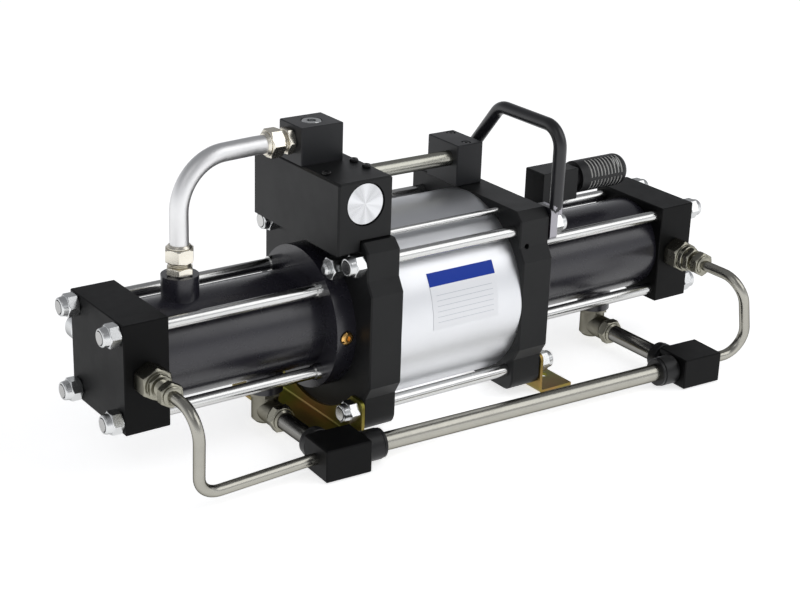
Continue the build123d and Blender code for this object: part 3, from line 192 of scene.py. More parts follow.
class PumpFinishSettings(bpy.types.PropertyGroup):
    """Colours of the pump's finishes."""

    black: colour_setting(
        "Anodised black", "Drive heads, valve body and muffler block", (0.0075, 0.0079, 0.0084),
    )
    cap: colour_setting(
        "Cap black", "End caps and tee blocks, a deeper black", (0.0028, 0.0029, 0.0031),
    )
    casting: colour_setting(
        "Casting black", "Exhaust manifold and transfer block", (0.015, 0.016, 0.018),
    )
    jacket: colour_setting(
        "Jacket black", "Paint of the cooling jackets and gas flanges", (0.020, 0.019, 0.027),
    )
    barrel: colour_setting("Barrel", "Turned aluminium of the drive barrel", (0.80, 0.81, 0.83))
    steel: colour_setting("Bright steel", "Tie rods, signal tube and inner parts", (0.66, 0.66, 0.65))
    zinc: colour_setting("Zinc plate", "Lock nuts, plugs and gas port fittings", (0.74, 0.75, 0.75))
    pipe: colour_setting("Pipe steel", "Gas tube and intercooler tube", (0.42, 0.41, 0.365))
    nickel: colour_setting("Nickel plate", "Cooling air joints", (0.86, 0.82, 0.72))
    fitting: colour_setting(
        "Fitting steel", "Interstage fittings, tube nuts and elbow nuts", (0.33, 0.32, 0.265),
    )
    casting_nickel: colour_setting("Cast nickel", "Skin of the two cast elbows", (0.24, 0.23, 0.19))
    dull_pipe: colour_setting("Dull pipe", "Back pipes, of a darker steel", (0.27, 0.265, 0.25))
    transfer: colour_setting(
        "Transfer tube", "Bright plated tube between the valve and its block", (0.46, 0.455, 0.40),
    )
    passivate: colour_setting("Yellow passivate", "Zinc plated feet", (0.29, 0.22, 0.05))
    satin: colour_setting("Satin tube", "Cooling air tube, a pale satin steel", (0.90, 0.90, 0.90))
    brass: colour_setting("Brass", "Vent plugs and rod bushes", (0.80, 0.47, 0.15))
    label_band: colour_setting(
        "Label band", "Band along the top of the label plate", (0.004, 0.050, 0.47),
    )


class PumpHardwareSettings(bpy.types.PropertyGroup):
    """Sizes of the nuts and screws, in metres."""

    nut_flats: length_setting("Nut flats", "Width across the flats of a lock nut", 18 * MM)
    nut_height: length_setting("Nut height", "Height of a lock nut's hexagon", 10 * MM)
    collar_height: length_setting(
        "Collar height", "Height of the round collar that holds the insert", 5.5 * MM,
    )
    collar_diameter: length_setting("Collar diameter", "Diameter of the round collar", 16 * MM)
    thread_pitch: length_setting(
        "Thread pitch", "Distance between two ridges of a fitting's thread", THREAD_PITCH,
    )
    ring_steps: IntProperty(
        name="Steps", description="Points round a turned piece", default=48, min=24, max=96,
    )


class PumpStageSettings(bpy.types.PropertyGroup):
    """Camera and light."""

    lens: FloatProperty(
        name="Lens", description="Focal length of the camera in millimetres", default=77.05,
    )
    key_power: FloatProperty(
        name="Key light", description="Power of the large light in front in watts", default=14.0,
    )
    world_strength: FloatProperty(
        name="World", description="Strength of the soft light all round", default=0.74,
    )


# Shader nodes


def add_sockets(tree, way, sockets):
    """Adds named sockets to a node group; each is a name, a type and, for some inputs, a default."""
    for name, kind, *default in sockets:
        socket = tree.interface.new_socket(name, in_out=way, socket_type=kind)
        if default:
            socket.default_value = default[0]


def feed(tree, value, socket):
    """Links a value that comes from a node into a socket, or sets the socket to a constant.

    A constant for a colour socket is three numbers, and it is opaque."""
    if isinstance(value, bpy.types.NodeSocket):
        tree.links.new(value, socket)
    elif socket.type == "RGBA":
        socket.default_value = (*value, 1)
    else:
        socket.default_value = value


def math_node(tree, operation, first, second=0.0, clamp=False):
    """Adds a Math node and returns its output."""
    node = tree.nodes.new("ShaderNodeMath")
    node.operation = operation
    node.use_clamp = clamp
    feed(tree, first, node.inputs[0])
    feed(tree, second, node.inputs[1])
    return node.outputs[0]


def product(tree, value, *factors):
    """Multiplies a value by others."""
    for factor in factors:
        value = math_node(tree, "MULTIPLY", value, factor)
    return value


def axis_distance(tree, across, upward):
    """Distance from an axis, from two distances at right angles to it and to each other."""
    squares = [math_node(tree, "POWER", side, 2.0) for side in (across, upward)]
    return math_node(tree, "SQRT", math_node(tree, "ADD", *squares))


def split_vector(tree, vector):
    """Returns the X, Y and Z of a vector."""
    node = tree.nodes.new("ShaderNodeSeparateXYZ")
    tree.links.new(vector, node.inputs[0])
    return [node.outputs[axis] for axis in "XYZ"]


def join_vector(tree, *values):
    """Makes a vector of up to three values, and leaves the rest at 0."""
    node = tree.nodes.new("ShaderNodeCombineXYZ")
    for value, socket in zip(values, node.inputs):
        tree.links.new(value, socket)
    return node.outputs[0]


def noise_node(tree, vector, scale, detail, roughness=0.5):
    """Adds a Noise Texture on a vector and returns its factor."""
    node = tree.nodes.new("ShaderNodeTexNoise")
    feed(tree, scale, node.inputs["Scale"])
    node.inputs["Detail"].default_value = detail
    node.inputs["Roughness"].default_value = roughness
    tree.links.new(vector, node.inputs["Vector"])
    return node.outputs["Fac"]


def stretched(tree, vector, scale):
    """Scales a coordinate by a vector, to stretch a pattern along an axis."""
    node = tree.nodes.new("ShaderNodeMapping")
    node.inputs["Scale"].default_value = scale
    tree.links.new(vector, node.inputs["Vector"])
    return node.outputs["Vector"]


def ramp_node(tree, factor, *stops):
    """Adds a Color Ramp of two stops, each a position and a colour, and returns its colour."""
    node = tree.nodes.new("ShaderNodeValToRGB")
    tree.links.new(factor, node.inputs["Fac"])
    for element, (position, colour) in zip(node.color_ramp.elements, stops):
        element.position = position
        element.color = (*colour, 1)
    return node.outputs["Color"]


def mix_node(tree, factor, first, second):
    """Mixes two colours by a factor."""
    node = tree.nodes.new("ShaderNodeMix")
    node.data_type = "RGBA"
    tree.links.new(factor, node.inputs["Factor"])
    feed(tree, first, node.inputs["A"])
    feed(tree, second, node.inputs["B"])
    return node.outputs["Result"]


def background_rays(tree):
    """1 for rays that show the background: straight from the camera, by reflection or through glass."""
    path = tree.nodes.new("ShaderNodeLightPath")
    direct = math_node(tree, "MAXIMUM", path.outputs["Is Camera Ray"], path.outputs["Is Glossy Ray"])
    return math_node(tree, "MAXIMUM", direct, path.outputs["Is Transmission Ray"])


# Shader node groups


def start_group(name, inputs, outputs):
    """New shader node group, with the sockets inside it that hold its inputs and its outputs."""
    tree = bpy.data.node_groups.new(name, "ShaderNodeTree")
    add_sockets(tree, "INPUT", (("Vector", "NodeSocketVector"), *inputs))
    add_sockets(tree, "OUTPUT", [(output, "NodeSocketFloat") for output in outputs])
    return tree, tree.nodes.new("NodeGroupInput").outputs, tree.nodes.new("NodeGroupOutput").inputs


def swung_roughness(tree, inputs, outputs, pattern):
    """Feeds a roughness that a pattern swings by the group's amount, and returns the swing."""
    spread = math_node(tree, "SUBTRACT", pattern, 0.5)
    swing = product(tree, spread, inputs["Amount"])
    rough = math_node(tree, "ADD", swing, inputs["Roughness"], clamp=True)
    tree.links.new(rough, outputs["Roughness"])
    return swing


def handled_group():
    """Handling marks: cloudy smudges that change roughness and shade a little."""
    values = (("Roughness", "NodeSocketFloat", 0.4), ("Amount", "NodeSocketFloat", 0.1))
    tree, inputs, outputs = start_group("Handling marks", values, ("Roughness", "Shade"))
    clouds = noise_node(tree, inputs["Vector"], scale=38.0, detail=5.0, roughness=0.62)
    swing = swung_roughness(tree, inputs, outputs, clouds)
    darker = product(tree, swing, -SMUDGE_SHADE)
    tree.links.new(math_node(tree, "ADD", darker, 1.0), outputs["Shade"])
    return tree


def grain_group():
    """Fine grain: a pebbled height for paint, anodising and cast skins."""
    values = (("Scale", "NodeSocketFloat", 900.0),)
    tree, inputs, outputs = start_group("Fine grain", values, ("Height",))
    grain = noise_node(tree, inputs["Vector"], inputs["Scale"], detail=2.0)
    tree.links.new(grain, outputs["Height"])
    return tree


def turned_group():
    """Turned lines: fine rings round the X axis, as a lathe or a polishing belt leaves."""
    values = (("Roughness", "NodeSocketFloat", 0.3), ("Amount", "NodeSocketFloat", 0.1))
    tree, inputs, outputs = start_group("Turned lines", values, ("Roughness", "Height"))
    place = stretched(tree, inputs["Vector"], scale=(2600.0, 9.0, 9.0))
    lines = noise_node(tree, place, scale=1.0, detail=3.0, roughness=0.6)
    swung_roughness(tree, inputs, outputs, lines)
    tree.links.new(lines, outputs["Height"])
    return tree


def use_group(tree, group, vector, **values):
    """Places a node group in a material, sets its inputs by name and returns its outputs."""
    node = tree.nodes.new("ShaderNodeGroup")
    node.node_tree = GROUPS[group]
    tree.links.new(vector, node.inputs["Vector"])
    for name, value in values.items():
        feed(tree, value, node.inputs[name.capitalize()])
    return node.outputs


# Materials


def start_material(name):
    """New material with its Principled shader and Object coordinates."""
    material = bpy.data.materials.new(name)
    material.use_nodes = True
    tree = material.node_tree
    shader = tree.nodes["Principled BSDF"]
    coordinates = tree.nodes.new("ShaderNodeTexCoord").outputs["Object"]
    return material, tree, shader, coordinates


def shade_colour(tree, colour, factor):
    """Colour multiplied by a factor that changes over the surface."""
    node = tree.nodes.new("ShaderNodeVectorMath")
    node.operation = "SCALE"
    node.inputs[0].default_value = colour
    tree.links.new(factor, node.inputs["Scale"])
    return node.outputs["Vector"]


def bump(tree, shader, height, distance):
    """Feeds a height into the shader's normal."""
    node = tree.nodes.new("ShaderNodeBump")
    node.inputs["Distance"].default_value = distance
    tree.links.new(height, node.inputs["Height"])
    tree.links.new(node.outputs["Normal"], shader.inputs["Normal"])


def mark_surface(tree, shader, place, roughness, amount):
    """Gives the shader its roughness with handling marks, and returns their shade."""
    marks = use_group(tree, "handled", place, roughness=roughness, amount=amount)
    tree.links.new(marks["Roughness"], shader.inputs["Roughness"])
    return marks["Shade"]


def grain_surface(tree, shader, place, scale, depth):
    """Gives the shader a fine grain."""
    bump(tree, shader, use_group(tree, "grain", place, scale=scale)["Height"], depth)


def make_metal(shader, edge=1.0):
    """Makes the shader a bare metal; edge is how much it reflects at a grazing angle."""
    shader.inputs["Metallic"].default_value = 1.0
    shader.inputs["Specular Tint"].default_value = (edge, edge, edge, 1)


def painted(name, colour, roughness, gloss=0.35, grain=900.0, depth=0.02 * MM, marks=0.16):
    """Painted, anodised or moulded finish with grain and handling marks."""
    material, tree, shader, place = start_material(name)
    shader.inputs["Specular IOR Level"].default_value = gloss
    shade = mark_surface(tree, shader, place, roughness, marks)
    tree.links.new(shade_colour(tree, colour, shade), shader.inputs["Base Color"])
    grain_surface(tree, shader, place, grain, depth)
    return material


def plated(name, colour, roughness, edge=0.35, grain=1400.0, depth=0.006 * MM, marks=0.14):
    """Plated or polished metal with faint marks."""
    material = painted(name, colour, roughness, 0.5, grain, depth, marks)
    make_metal(material.node_tree.nodes["Principled BSDF"], edge)
    return material


def turned(name, colour, roughness, lines=0.12, edge=0.3):
    """Metal turned or belt polished round the X axis."""
    material, tree, shader, place = start_material(name)
    make_metal(shader, edge)
    rings = use_group(tree, "turned", place, roughness=roughness, amount=lines)
    shade = mark_surface(tree, shader, place, rings["Roughness"], amount=0.06)
    tree.links.new(shade_colour(tree, colour, shade), shader.inputs["Base Color"])
    bump(tree, shader, rings["Height"], 0.004 * MM)
    return material


def faced_metal(colour):
    """Faced aluminium of the valve plugs: rings, and painted highlights in streaks about the spool's
    axis.
    """
    material, tree, shader, place = start_material("Faced aluminium")
    make_metal(shader)
    low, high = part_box("valve_plugs")
    middle = (low + high) / 2
    x, _, z = split_vector(tree, place)
    across = math_node(tree, "SUBTRACT", x, middle.x)
    upward = math_node(tree, "SUBTRACT", z, middle.z)
    around = math_node(tree, "ARCTAN2", upward, across)
    circle = [product(tree, math_node(tree, wave, around), STREAKING) for wave in ("COSINE", "SINE")]
    highlight_and_rough_streaks = noise_node(tree, join_vector(tree, *circle), scale=0.9, detail=1.0, roughness=0.4)
    reach = product(tree, axis_distance(tree, across, upward), FACE_RINGS)
    rings = noise_node(tree, join_vector(tree, reach), scale=1.0, detail=2.0, roughness=0.6)
    # Painted highlight: the streaks brighten the colour as a turned face's reflections would
    shade = math_node(tree, "ADD", product(tree, highlight_and_rough_streaks, STREAK_HIGHLIGHT), FACE_SHADE, clamp=True)
    tree.links.new(shade_colour(tree, colour, shade), shader.inputs["Base Color"])
    rough = math_node(tree, "ADD", product(tree, highlight_and_rough_streaks, STREAK_ROUGHNESS), FACE_ROUGHNESS)
    tree.links.new(rough, shader.inputs["Roughness"])
    bump(tree, shader, rings, 0.006 * MM)
    return material


def handle_coat(colour):
    """Coated bar of the handle, worn to bare steel where its ends are bolted on."""
    material = painted("Handle coat", colour, 0.3, gloss=0.6, grain=420.0, depth=0.03 * MM)
    tree = material.node_tree
    shader = tree.nodes["Principled BSDF"]
    place = tree.nodes["Texture Coordinate"].outputs["Object"]
    low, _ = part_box("handle")
    _, _, z = split_vector(tree, place)
    height = math_node(tree, "SUBTRACT", z, low.z)
    patches = noise_node(tree, place, scale=130.0, detail=4.0, roughness=0.65)
    ragged = product(tree, patches, HANDLE_RAGGED)
    bare = math_node(tree, "LESS_THAN", math_node(tree, "ADD", height, ragged), HANDLE_BARE)
    tree.links.new(bare, shader.inputs["Metallic"])
    coat = shader.inputs["Base Color"].links[0].from_socket
    tree.links.new(mix_node(tree, bare, coat, HANDLE_STEEL), shader.inputs["Base Color"])
    return material


def slotted_plastic(colour):
    """Moulded plastic of the muffler, with painted light: the insides of its slots are painted pale."""
    material, tree, shader, place = start_material("Moulded plastic")
    shader.inputs["Specular IOR Level"].default_value = 0.4
    low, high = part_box("muffler")
    x, y, z = split_vector(tree, place)
    upward = math_node(tree, "SUBTRACT", z, (low.z + high.z) / 2)
    skin = (high.z - low.z) / 2 - MUFFLER_SKIN
    # Painted light: below the skin, between neck and end, the insides of the slots are painted pale
    slot_light_mask = product(
        tree,
        math_node(tree, "LESS_THAN", axis_distance(tree, y, upward), skin),
        math_node(tree, "GREATER_THAN", x, low.x + MUFFLER_NECK),
        math_node(tree, "LESS_THAN", x, high.x - MUFFLER_END),
    )
    shade = mark_surface(tree, shader, place, roughness=0.46, amount=0.16)
    shell = shade_colour(tree, colour, shade)
    tree.links.new(mix_node(tree, slot_light_mask, shell, PAINTED_SLOT_LIGHT), shader.inputs["Base Color"])
    grain_surface(tree, shader, place, scale=520.0, depth=0.04 * MM)
    return material


def yellow_passivate(colour):
    """Yellow passivated zinc: gold with green and rose clouds."""
    material, tree, shader, place = start_material("Yellow passivate")
    shader.inputs["Metallic"].default_value = 0.85
    mark_surface(tree, shader, place, roughness=0.34, amount=0.2)
    clouds = noise_node(tree, place, scale=24.0, detail=4.0)
    green, rose = (
        [part * share for part, share in zip(colour, cloud)] for cloud in (GREEN_CLOUD, ROSE_CLOUD)
    )
    tree.links.new(ramp_node(tree, clouds, (0.35, green), (0.66, rose)), shader.inputs["Base Color"])
    grain_surface(tree, shader, place, scale=1200.0, depth=0.01 * MM)
    return material


def label_material(band_colour):
    """Blank label of silver foil: a plain band along the top and faint empty rules under it."""
    material, tree, shader, place = start_material("Label sheet")
    shader.inputs["Roughness"].default_value = 0.45
    shader.inputs["Specular IOR Level"].default_value = 0.25
    x, y, z = split_vector(tree, place)
    height = math_node(tree, "SUBTRACT", z, AXIS_Z)
    angle = math_node(tree, "ARCTAN2", height, product(tree, y, -1.0))
    degrees = product(tree, angle, 180 / math.pi)
    in_band = math_node(tree, "GREATER_THAN", degrees, BAND_FROM)
    on_foil = math_node(tree, "SUBTRACT", 1.0, in_band)
    tree.links.new(product(tree, on_foil, FOIL_METALLIC), shader.inputs["Metallic"])
    low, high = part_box("label_plate")
    rule_place = math_node(tree, "FRACT", math_node(tree, "DIVIDE", degrees, RULE_SPACING))
    ruled = product(
        tree,
        math_node(tree, "LESS_THAN", rule_place, RULE_SHARE),
        math_node(tree, "GREATER_THAN", x, low.x + LABEL_MARGIN),
        math_node(tree, "LESS_THAN", x, high.x - LABEL_MARGIN),
        math_node(tree, "GREATER_THAN", degrees, RULES_FROM),
        math_node(tree, "LESS_THAN", degrees, RULES_TO),
    )
    sheet = mix_node(tree, ruled, LABEL_FOIL, LABEL_RULE)
    tree.links.new(mix_node(tree, in_band, sheet, band_colour), shader.inputs["Base Color"])
    return material


# Mesh helpers


def mesh_object(name, mesh):
    """Links a finished mesh as an object at the origin."""
    piece = bpy.data.objects.new(name, mesh)
    bpy.context.scene.collection.objects.link(piece)
    return piece


def dress(mesh, finish):
    """Gives a mesh one of the finishes."""
    mesh.materials.clear()
    mesh.materials.append(FINISH[finish])


def finish_piece(piece, finish, slot, *replaced):
    """Gives a piece its material and its body, and hides the nodes it stands for; slot is not used."""
    dress(piece.data, finish)
    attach(piece, "housing")
    if replaced:
        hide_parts(*replaced)


def smooth_by_angle(mesh):
    """Shades a mesh smooth, apart from its sharp edges."""
    work = bmesh.new()
    work.from_mesh(mesh)
    for face in work.faces:
        face.smooth = True
    for edge in work.edges:
        sharp = edge.is_manifold and edge.calc_face_angle(0.0) > SHARP_ANGLE
        edge.smooth = not sharp
    work.to_mesh(mesh)
    work.free()


def hexagon_reach(angle, flats):
    """Distance from the axis to a hexagon's side at an angle."""
    sector = math.pi / 3
    return flats / 2 / math.cos((angle + sector / 2) % sector - sector / 2)


def turned_rings(work, matrix, sections, steps):
    """Closed solid of rings about local Z. Each section is (height, radius, flats).

    A ring's reach is its radius, or the hexagon's side where that is nearer."""
    rings = []
    for height, radius, flats in sections:
        ring = []
        for step in range(steps):
            angle = 2 * math.pi * step / steps
            reach = radius if flats is None else min(radius, hexagon_reach(angle, flats))
            point = Vector((reach * math.cos(angle), reach * math.sin(angle), height))
            ring.append(work.verts.new(matrix @ point))
        rings.append(ring)
    for lower, upper in zip(rings, rings[1:]):
        for step in range(steps):
            after = (step + 1) % steps
            work.faces.new((lower[step], lower[after], upper[after], upper[step]))
    work.faces.new(tuple(reversed(rings[0])))
    work.faces.new(tuple(rings[-1]))


def chamfered_hexagon(start, length, flats):
    """Sections of a hexagon whose corners are cut by a cone at both ends."""
    corner = flats / math.sqrt(3)
    face = flats / 2 * HEXAGON_FACE
    drop = (corner - face) * math.tan(HEXAGON_CHAMFER)
    shares = [step / CHAMFER_STEPS for step in range(CHAMFER_STEPS + 1)]
    cuts = [(drop * share, face + (corner - face) * share) for share in shares]
    rise = [(start + depth, reach, flats) for depth, reach in cuts]
    fall = [(start + length - depth, reach, flats) for depth, reach in reversed(cuts)]
    return rise + fall


def fitting(*segments, pitch=THREAD_PITCH):
    """Sections of a fitting from its segments along its axis.

    A segment is a kind, a length and a size in millimetres. The size of a hexagon is the width across
    its flats, and that of a round, thread, cone, bore or socket is a radius. A cone narrows to its size
    from the segment before it. A bore or a socket comes last, and goes back down into the piece."""
    sections = []
    start = 0.0
    for kind, length, size in segments:
        length, size = length * MM, size * MM
        if kind == "hexagon":
            sections += chamfered_hexagon(start, length, size)
        elif kind == "round":
            edge = min(STEP_CHAMFER, length / 3)
            sections += [
                (start, size - edge, None), (start + edge, size, None),
                (start + length - edge, size, None), (start + length, size - edge, None),
            ]
        elif kind == "thread":
            for turn in range(round(length / pitch)):
                foot = start + turn * pitch
                sections += [(foot, size - THREAD_DEPTH, None), (foot + pitch / 2, size, None)]
        elif kind == "cone":
            sections.append((start + length, size, None))
        elif kind == "bore":
            sections += [(start, size, None), (start - length, size, None)]
        elif kind == "socket":
            flats = size * SOCKET_FLATS
            sections += [(start, size, None), (start, size, flats), (start - length, size, flats)]
        start += length
    return sections


def along(origin, direction, turn=0.0):
    """Matrix whose Z is a direction and whose X points up, turned about Z by degrees.

    Where the direction is upright, X stays the frame's X."""
    axis = Vector(direction).normalized()
    up = Vector((0, 0, 1)) if abs(axis.z) < 0.9 else Vector((1, 0, 0))
    first = (up - axis * up.dot(axis)).normalized()
    basis = Matrix((first, axis.cross(first), axis)).transposed().to_4x4()
    return Matrix.Translation(origin) @ basis @ Matrix.Rotation(math.radians(turn), 4, "Z")


def loose_parts(node):
    """Lowest and highest corners of each separate solid of a CAD node."""
    work = bmesh.new()
    work.from_mesh(NODES[node].data)
    bmesh.ops.remove_doubles(work, verts=work.verts, dist=0.01 * MM)
    waiting = set(work.verts)
    parts = []
    while waiting:
        front = [waiting.pop()]
        points = []
        while front:
            vertex = front.pop()
            points.append(vertex.co.copy())
            for edge in vertex.link_edges:
                other = edge.other_vert(vertex)
                if other in waiting:
                    waiting.discard(other)
                    front.append(other)
        low = Vector(min(point[axis] for point in points) for axis in range(3))
        high = Vector(max(point[axis] for point in points) for axis in range(3))
        parts.append((low, high))
    work.free()
    return sorted(parts, key=lambda part: tuple(part[0]))


def end_of(part, direction):
    """Middle of the face of a part's box where a fitting that points a way starts."""
    low, high = part
    middle = (low + high) / 2
    for axis, way in enumerate(direction):
        if way:
            middle[axis] = low[axis] if way > 0 else high[axis]
    return middle


def stack_mesh(name, stacks, steps):
    """Mesh of several turned solids, each given as its matrix and its sections."""
    work = bmesh.new()
    for matrix, sections in stacks:
        turned_rings(work, matrix, sections, steps)
    bmesh.ops.recalc_face_normals(work, faces=work.faces)
    mesh = bpy.data.meshes.new(name)
    work.to_mesh(mesh)
    work.free()
    smooth_by_angle(mesh)
    return mesh


# Geometry Nodes: copies of one mesh along a row


def row_tree():
    """Tree that sets a row of copies of the modified mesh across the pump axis."""
    tree = bpy.data.node_groups.new("Row of copies", "GeometryNodeTree")
    sockets = (
        ("Geometry", "NodeSocketGeometry"),
        ("Count", "NodeSocketInt"),
        ("First place", "NodeSocketVector"),
        ("Last place", "NodeSocketVector"),
        ("Turn", "NodeSocketVector"),
        ("Material", "NodeSocketMaterial"),
    )
    add_sockets(tree, "INPUT", sockets)
    add_sockets(tree, "OUTPUT", (("Geometry", "NodeSocketGeometry"),))
    nodes, links = tree.nodes, tree.links
    inner, outer = nodes.new("NodeGroupInput"), nodes.new("NodeGroupOutput")
    line = nodes.new("GeometryNodeMeshLine")
    line.mode = "END_POINTS"
    links.new(inner.outputs["Count"], line.inputs["Count"])
    links.new(inner.outputs["First place"], line.inputs["Start Location"])
    links.new(inner.outputs["Last place"], line.inputs["Offset"])
    copies = nodes.new("GeometryNodeInstanceOnPoints")
    links.new(line.outputs["Mesh"], copies.inputs["Points"])
    links.new(inner.outputs["Geometry"], copies.inputs["Instance"])
    links.new(inner.outputs["Turn"], copies.inputs["Rotation"])
    real = nodes.new("GeometryNodeRealizeInstances")
    links.new(copies.outputs["Instances"], real.inputs["Geometry"])
    finish = nodes.new("GeometryNodeSetMaterial")
    links.new(real.outputs["Geometry"], finish.inputs["Geometry"])
    links.new(inner.outputs["Material"], finish.inputs["Material"])
    links.new(finish.outputs["Geometry"], outer.inputs["Geometry"])
    return tree


def socket_key(tree, name):
    """Identifier of a tree's input by its name."""
    return next(
        item.identifier for item in tree.interface.items_tree
        if item.item_type == "SOCKET" and item.in_out == "INPUT" and item.name == name
    )


def row_of_copies(mesh, places, turn, finish):
    """Evaluates a row of a mesh from its first place to its last, and returns it as a plain mesh."""
    tree = GROUPS["row"]
    piece = mesh_object("row", mesh)
    modifier = piece.modifiers.new("Row", "NODES")
    modifier.node_group = tree
    values = {
        "Count": len(places), "First place": min(places), "Last place": max(places),
        "Turn": turn, "Material": FINISH[finish],
    }
    for name, value in values.items():
        modifier[socket_key(tree, name)] = value
    depsgraph = bpy.context.evaluated_depsgraph_get()
    result = bpy.data.meshes.new_from_object(piece.evaluated_get(depsgraph))
    bpy.data.objects.remove(piece)
    return result


def join_meshes(name, meshes):
    """Joins several meshes into one."""
    work = bmesh.new()
    for mesh in meshes:
        work.from_mesh(mesh)
    joined = bpy.data.meshes.new(name)
    work.to_mesh(joined)
    work.free()
    return joined


# Pieces that stand for CAD nodes


def fitting_set(name, node, finish, slot, directions, segments, turns=(0.0,), second=None):
    """Builds one fitting for each solid of a node, from left to right, and replaces the node.

    The directions and the turns about them are taken in order, over and over. second holds the
    segments of the solids after the first, where they differ."""
    sizes = bpy.context.scene.pump_hardware
    stacks = []
    for index, part in enumerate(loose_parts(node)):
        direction = Vector(directions[index % len(directions)])
        used = second if second and index else segments
        sections = fitting(*used, pitch=sizes.thread_pitch)
        stacks.append((along(end_of(part, direction), direction, turns[index % len(turns)]), sections))
    piece = mesh_object(name, stack_mesh(name, stacks, sizes.ring_steps))
    finish_piece(piece, finish, slot, node)


def lock_nut_sections(sizes):
    """Sections of a lock nut: its hexagon, its collar with a rolled rim, and its bore."""
    reach = sizes.collar_diameter / 2
    top = sizes.nut_height + sizes.collar_height
    sections = chamfered_hexagon(0.0, sizes.nut_height, sizes.nut_flats)
    sections.append((sizes.nut_height, reach + COLLAR_FOOT, None))
    for degrees in range(0, 91, 15):
        angle = math.radians(degrees)
        out = reach - COLLAR_ROLL + COLLAR_ROLL * math.cos(angle)
        sections.append((top - COLLAR_ROLL + COLLAR_ROLL * math.sin(angle), out, None))
    for depth in (COLLAR_LIP, COLLAR_DEPTH):
        sections.append((top - depth, reach - COLLAR_WALL, None))
    return sections


def insert_sections(sizes):
    """Sections of the plastic ring that shows in a lock nut's collar."""
    wall = sizes.collar_diameter / 2 - COLLAR_WALL + INSERT_SINK
    top = sizes.nut_height + sizes.collar_height
    return [(top - drop * MM, wall - inward * MM, None) for drop, inward in INSERT_PROFILE]


def lock_nut_rows():
    """Rows of lock nuts across the pump: the turn of each row, and the places of its nuts."""
    rows = {}
    for low, high in loose_parts("tie_rod_nuts"):
        turn, face = (0.0, low.x) if low.x > 0 else (math.pi, high.x)
        middle = (low + high) / 2
        row = rows.setdefault((turn, round(face, 4), round(middle.z, 4)), [])
        row.append((face, middle.y, middle.z))
    return [((0.0, 0.0, turn), places) for (turn, _, _), places in rows.items()]


# Operators


class PUMP_OT_finishes(bpy.types.Operator):
    """Makes the finishes and paints every CAD node that keeps its own shape"""

    bl_idname = "pump.finishes"
    bl_label = "Finishes"

    def execute(self, context):
        colours = context.scene.pump_finish
        GROUPS.update(
            handled=handled_group(), grain=grain_group(), turned=turned_group(), row=row_tree(),
        )
        FINISH.update(
            black=painted("Anodised black", colours.black, 0.47, gloss=0.28),
            cap=painted("Cap black", colours.cap, 0.52, gloss=0.14),
            casting=painted("Casting black", colours.casting, 0.44, grain=760.0, depth=0.03 * MM),
            jacket=painted(
                "Jacket black", colours.jacket, 0.27, gloss=0.7, grain=600.0, depth=0.015 * MM,
            ),
            barrel=turned("Turned aluminium", colours.barrel, 0.4, edge=0.6),
            rod=turned("Bright rod", colours.steel, 0.2, lines=0.08),
            zinc=plated("Zinc plate", colours.zinc, 0.24),
            polished=plated("Satin tube", colours.satin, 0.44, edge=0.45, marks=0.1),
            transfer=plated("Bright tube", colours.transfer, 0.26, edge=0.2, marks=0.1),
            pipe=plated("Pipe steel", colours.pipe, 0.25, edge=0.1, marks=0.16),
            nickel=plated("Nickel plate", colours.nickel, 0.26, marks=0.16),
            fitting=plated(
                "Fitting steel", colours.fitting, 0.27, grain=700.0, depth=0.02 * MM, marks=0.3,
            ),
            cast=plated(
                "Cast nickel", colours.casting_nickel, 0.36,
                edge=0.2, grain=150.0, depth=0.5 * MM, marks=0.5,
            ),
            dull=plated("Dull pipe", colours.dull_pipe, 0.24, edge=0.1, marks=0.2),
            faced=faced_metal(colours.barrel),
            passivate=yellow_passivate(colours.passivate),
            brass=plated("Brass", colours.brass, 0.2, edge=0.8),
            coated=painted("Coated steel", STEEL_COAT, 0.38, grain=420.0, depth=0.03 * MM),
            handle=handle_coat(HANDLE_COAT),
            plastic=slotted_plastic(PLASTIC_BLACK),
            rubber=painted("Seal rubber", RUBBER_BLACK, 0.7),
            label=label_material(colours.label_band),
        )
        slots = {
            "black_metal": "black", "barrel_aluminium": "barrel", "bright_steel": "rod",
            "polished_steel": "polished", "nickel": "nickel", "brass": "brass", "bronze": "brass",
            "zinc_yellow": "passivate", "black_steel": "coated", "black_plastic": "plastic",
            "seal_rubber": "rubber", "label_sheet": "label",
        }
        finishes = {part["node"]: slots[part["material_slot"]] for part in frame["record"]["subparts"]}
        special = {
            "jacket": ("left_cooling_jacket", "right_cooling_jacket", "gas_flanges"),
            "cap": ("left_end_cap", "right_end_cap", "tee_blocks"),
            "handle": ("handle",),
            "casting": ("exhaust_manifold", "transfer_block"),
            "pipe": ("gas_tube", "intercooler_tube"),
            "dull": ("back_pipes",),
            "transfer": ("transfer_tube",),
            "cast": ("elbows",),
            "faced": ("valve_plugs",),
        }
        for finish, nodes in special.items():
            finishes.update(dict.fromkeys(nodes, finish))
        for node, finish in finishes.items():
            dress(NODES[node].data, finish)
        return {"FINISHED"}


class PUMP_OT_lock_nuts(bpy.types.Operator):
    """Builds the sixteen lock nuts in rows, each with a chamfered hexagon and a rolled collar"""

    bl_idname = "pump.lock_nuts"
    bl_label = "Lock nuts"

    def execute(self, context):
        sizes = context.scene.pump_hardware
        along_x = along((0, 0, 0), (1, 0, 0))
        rows = lock_nut_rows()
        for name, sections, finish, slot, replaced in (
            ("lock_nuts", lock_nut_sections(sizes), "zinc", "bright_steel", ["tie_rod_nuts"]),
            ("lock_inserts", insert_sections(sizes), "rubber", "seal_rubber", []),
        ):
            mesh = stack_mesh("one of " + name, [(along_x, sections)], sizes.ring_steps)
            meshes = [row_of_copies(mesh, places, turn, finish) for turn, places in rows]
            piece = mesh_object(name, join_meshes(name, meshes))
            finish_piece(piece, finish, slot, *replaced)
        return {"FINISHED"}


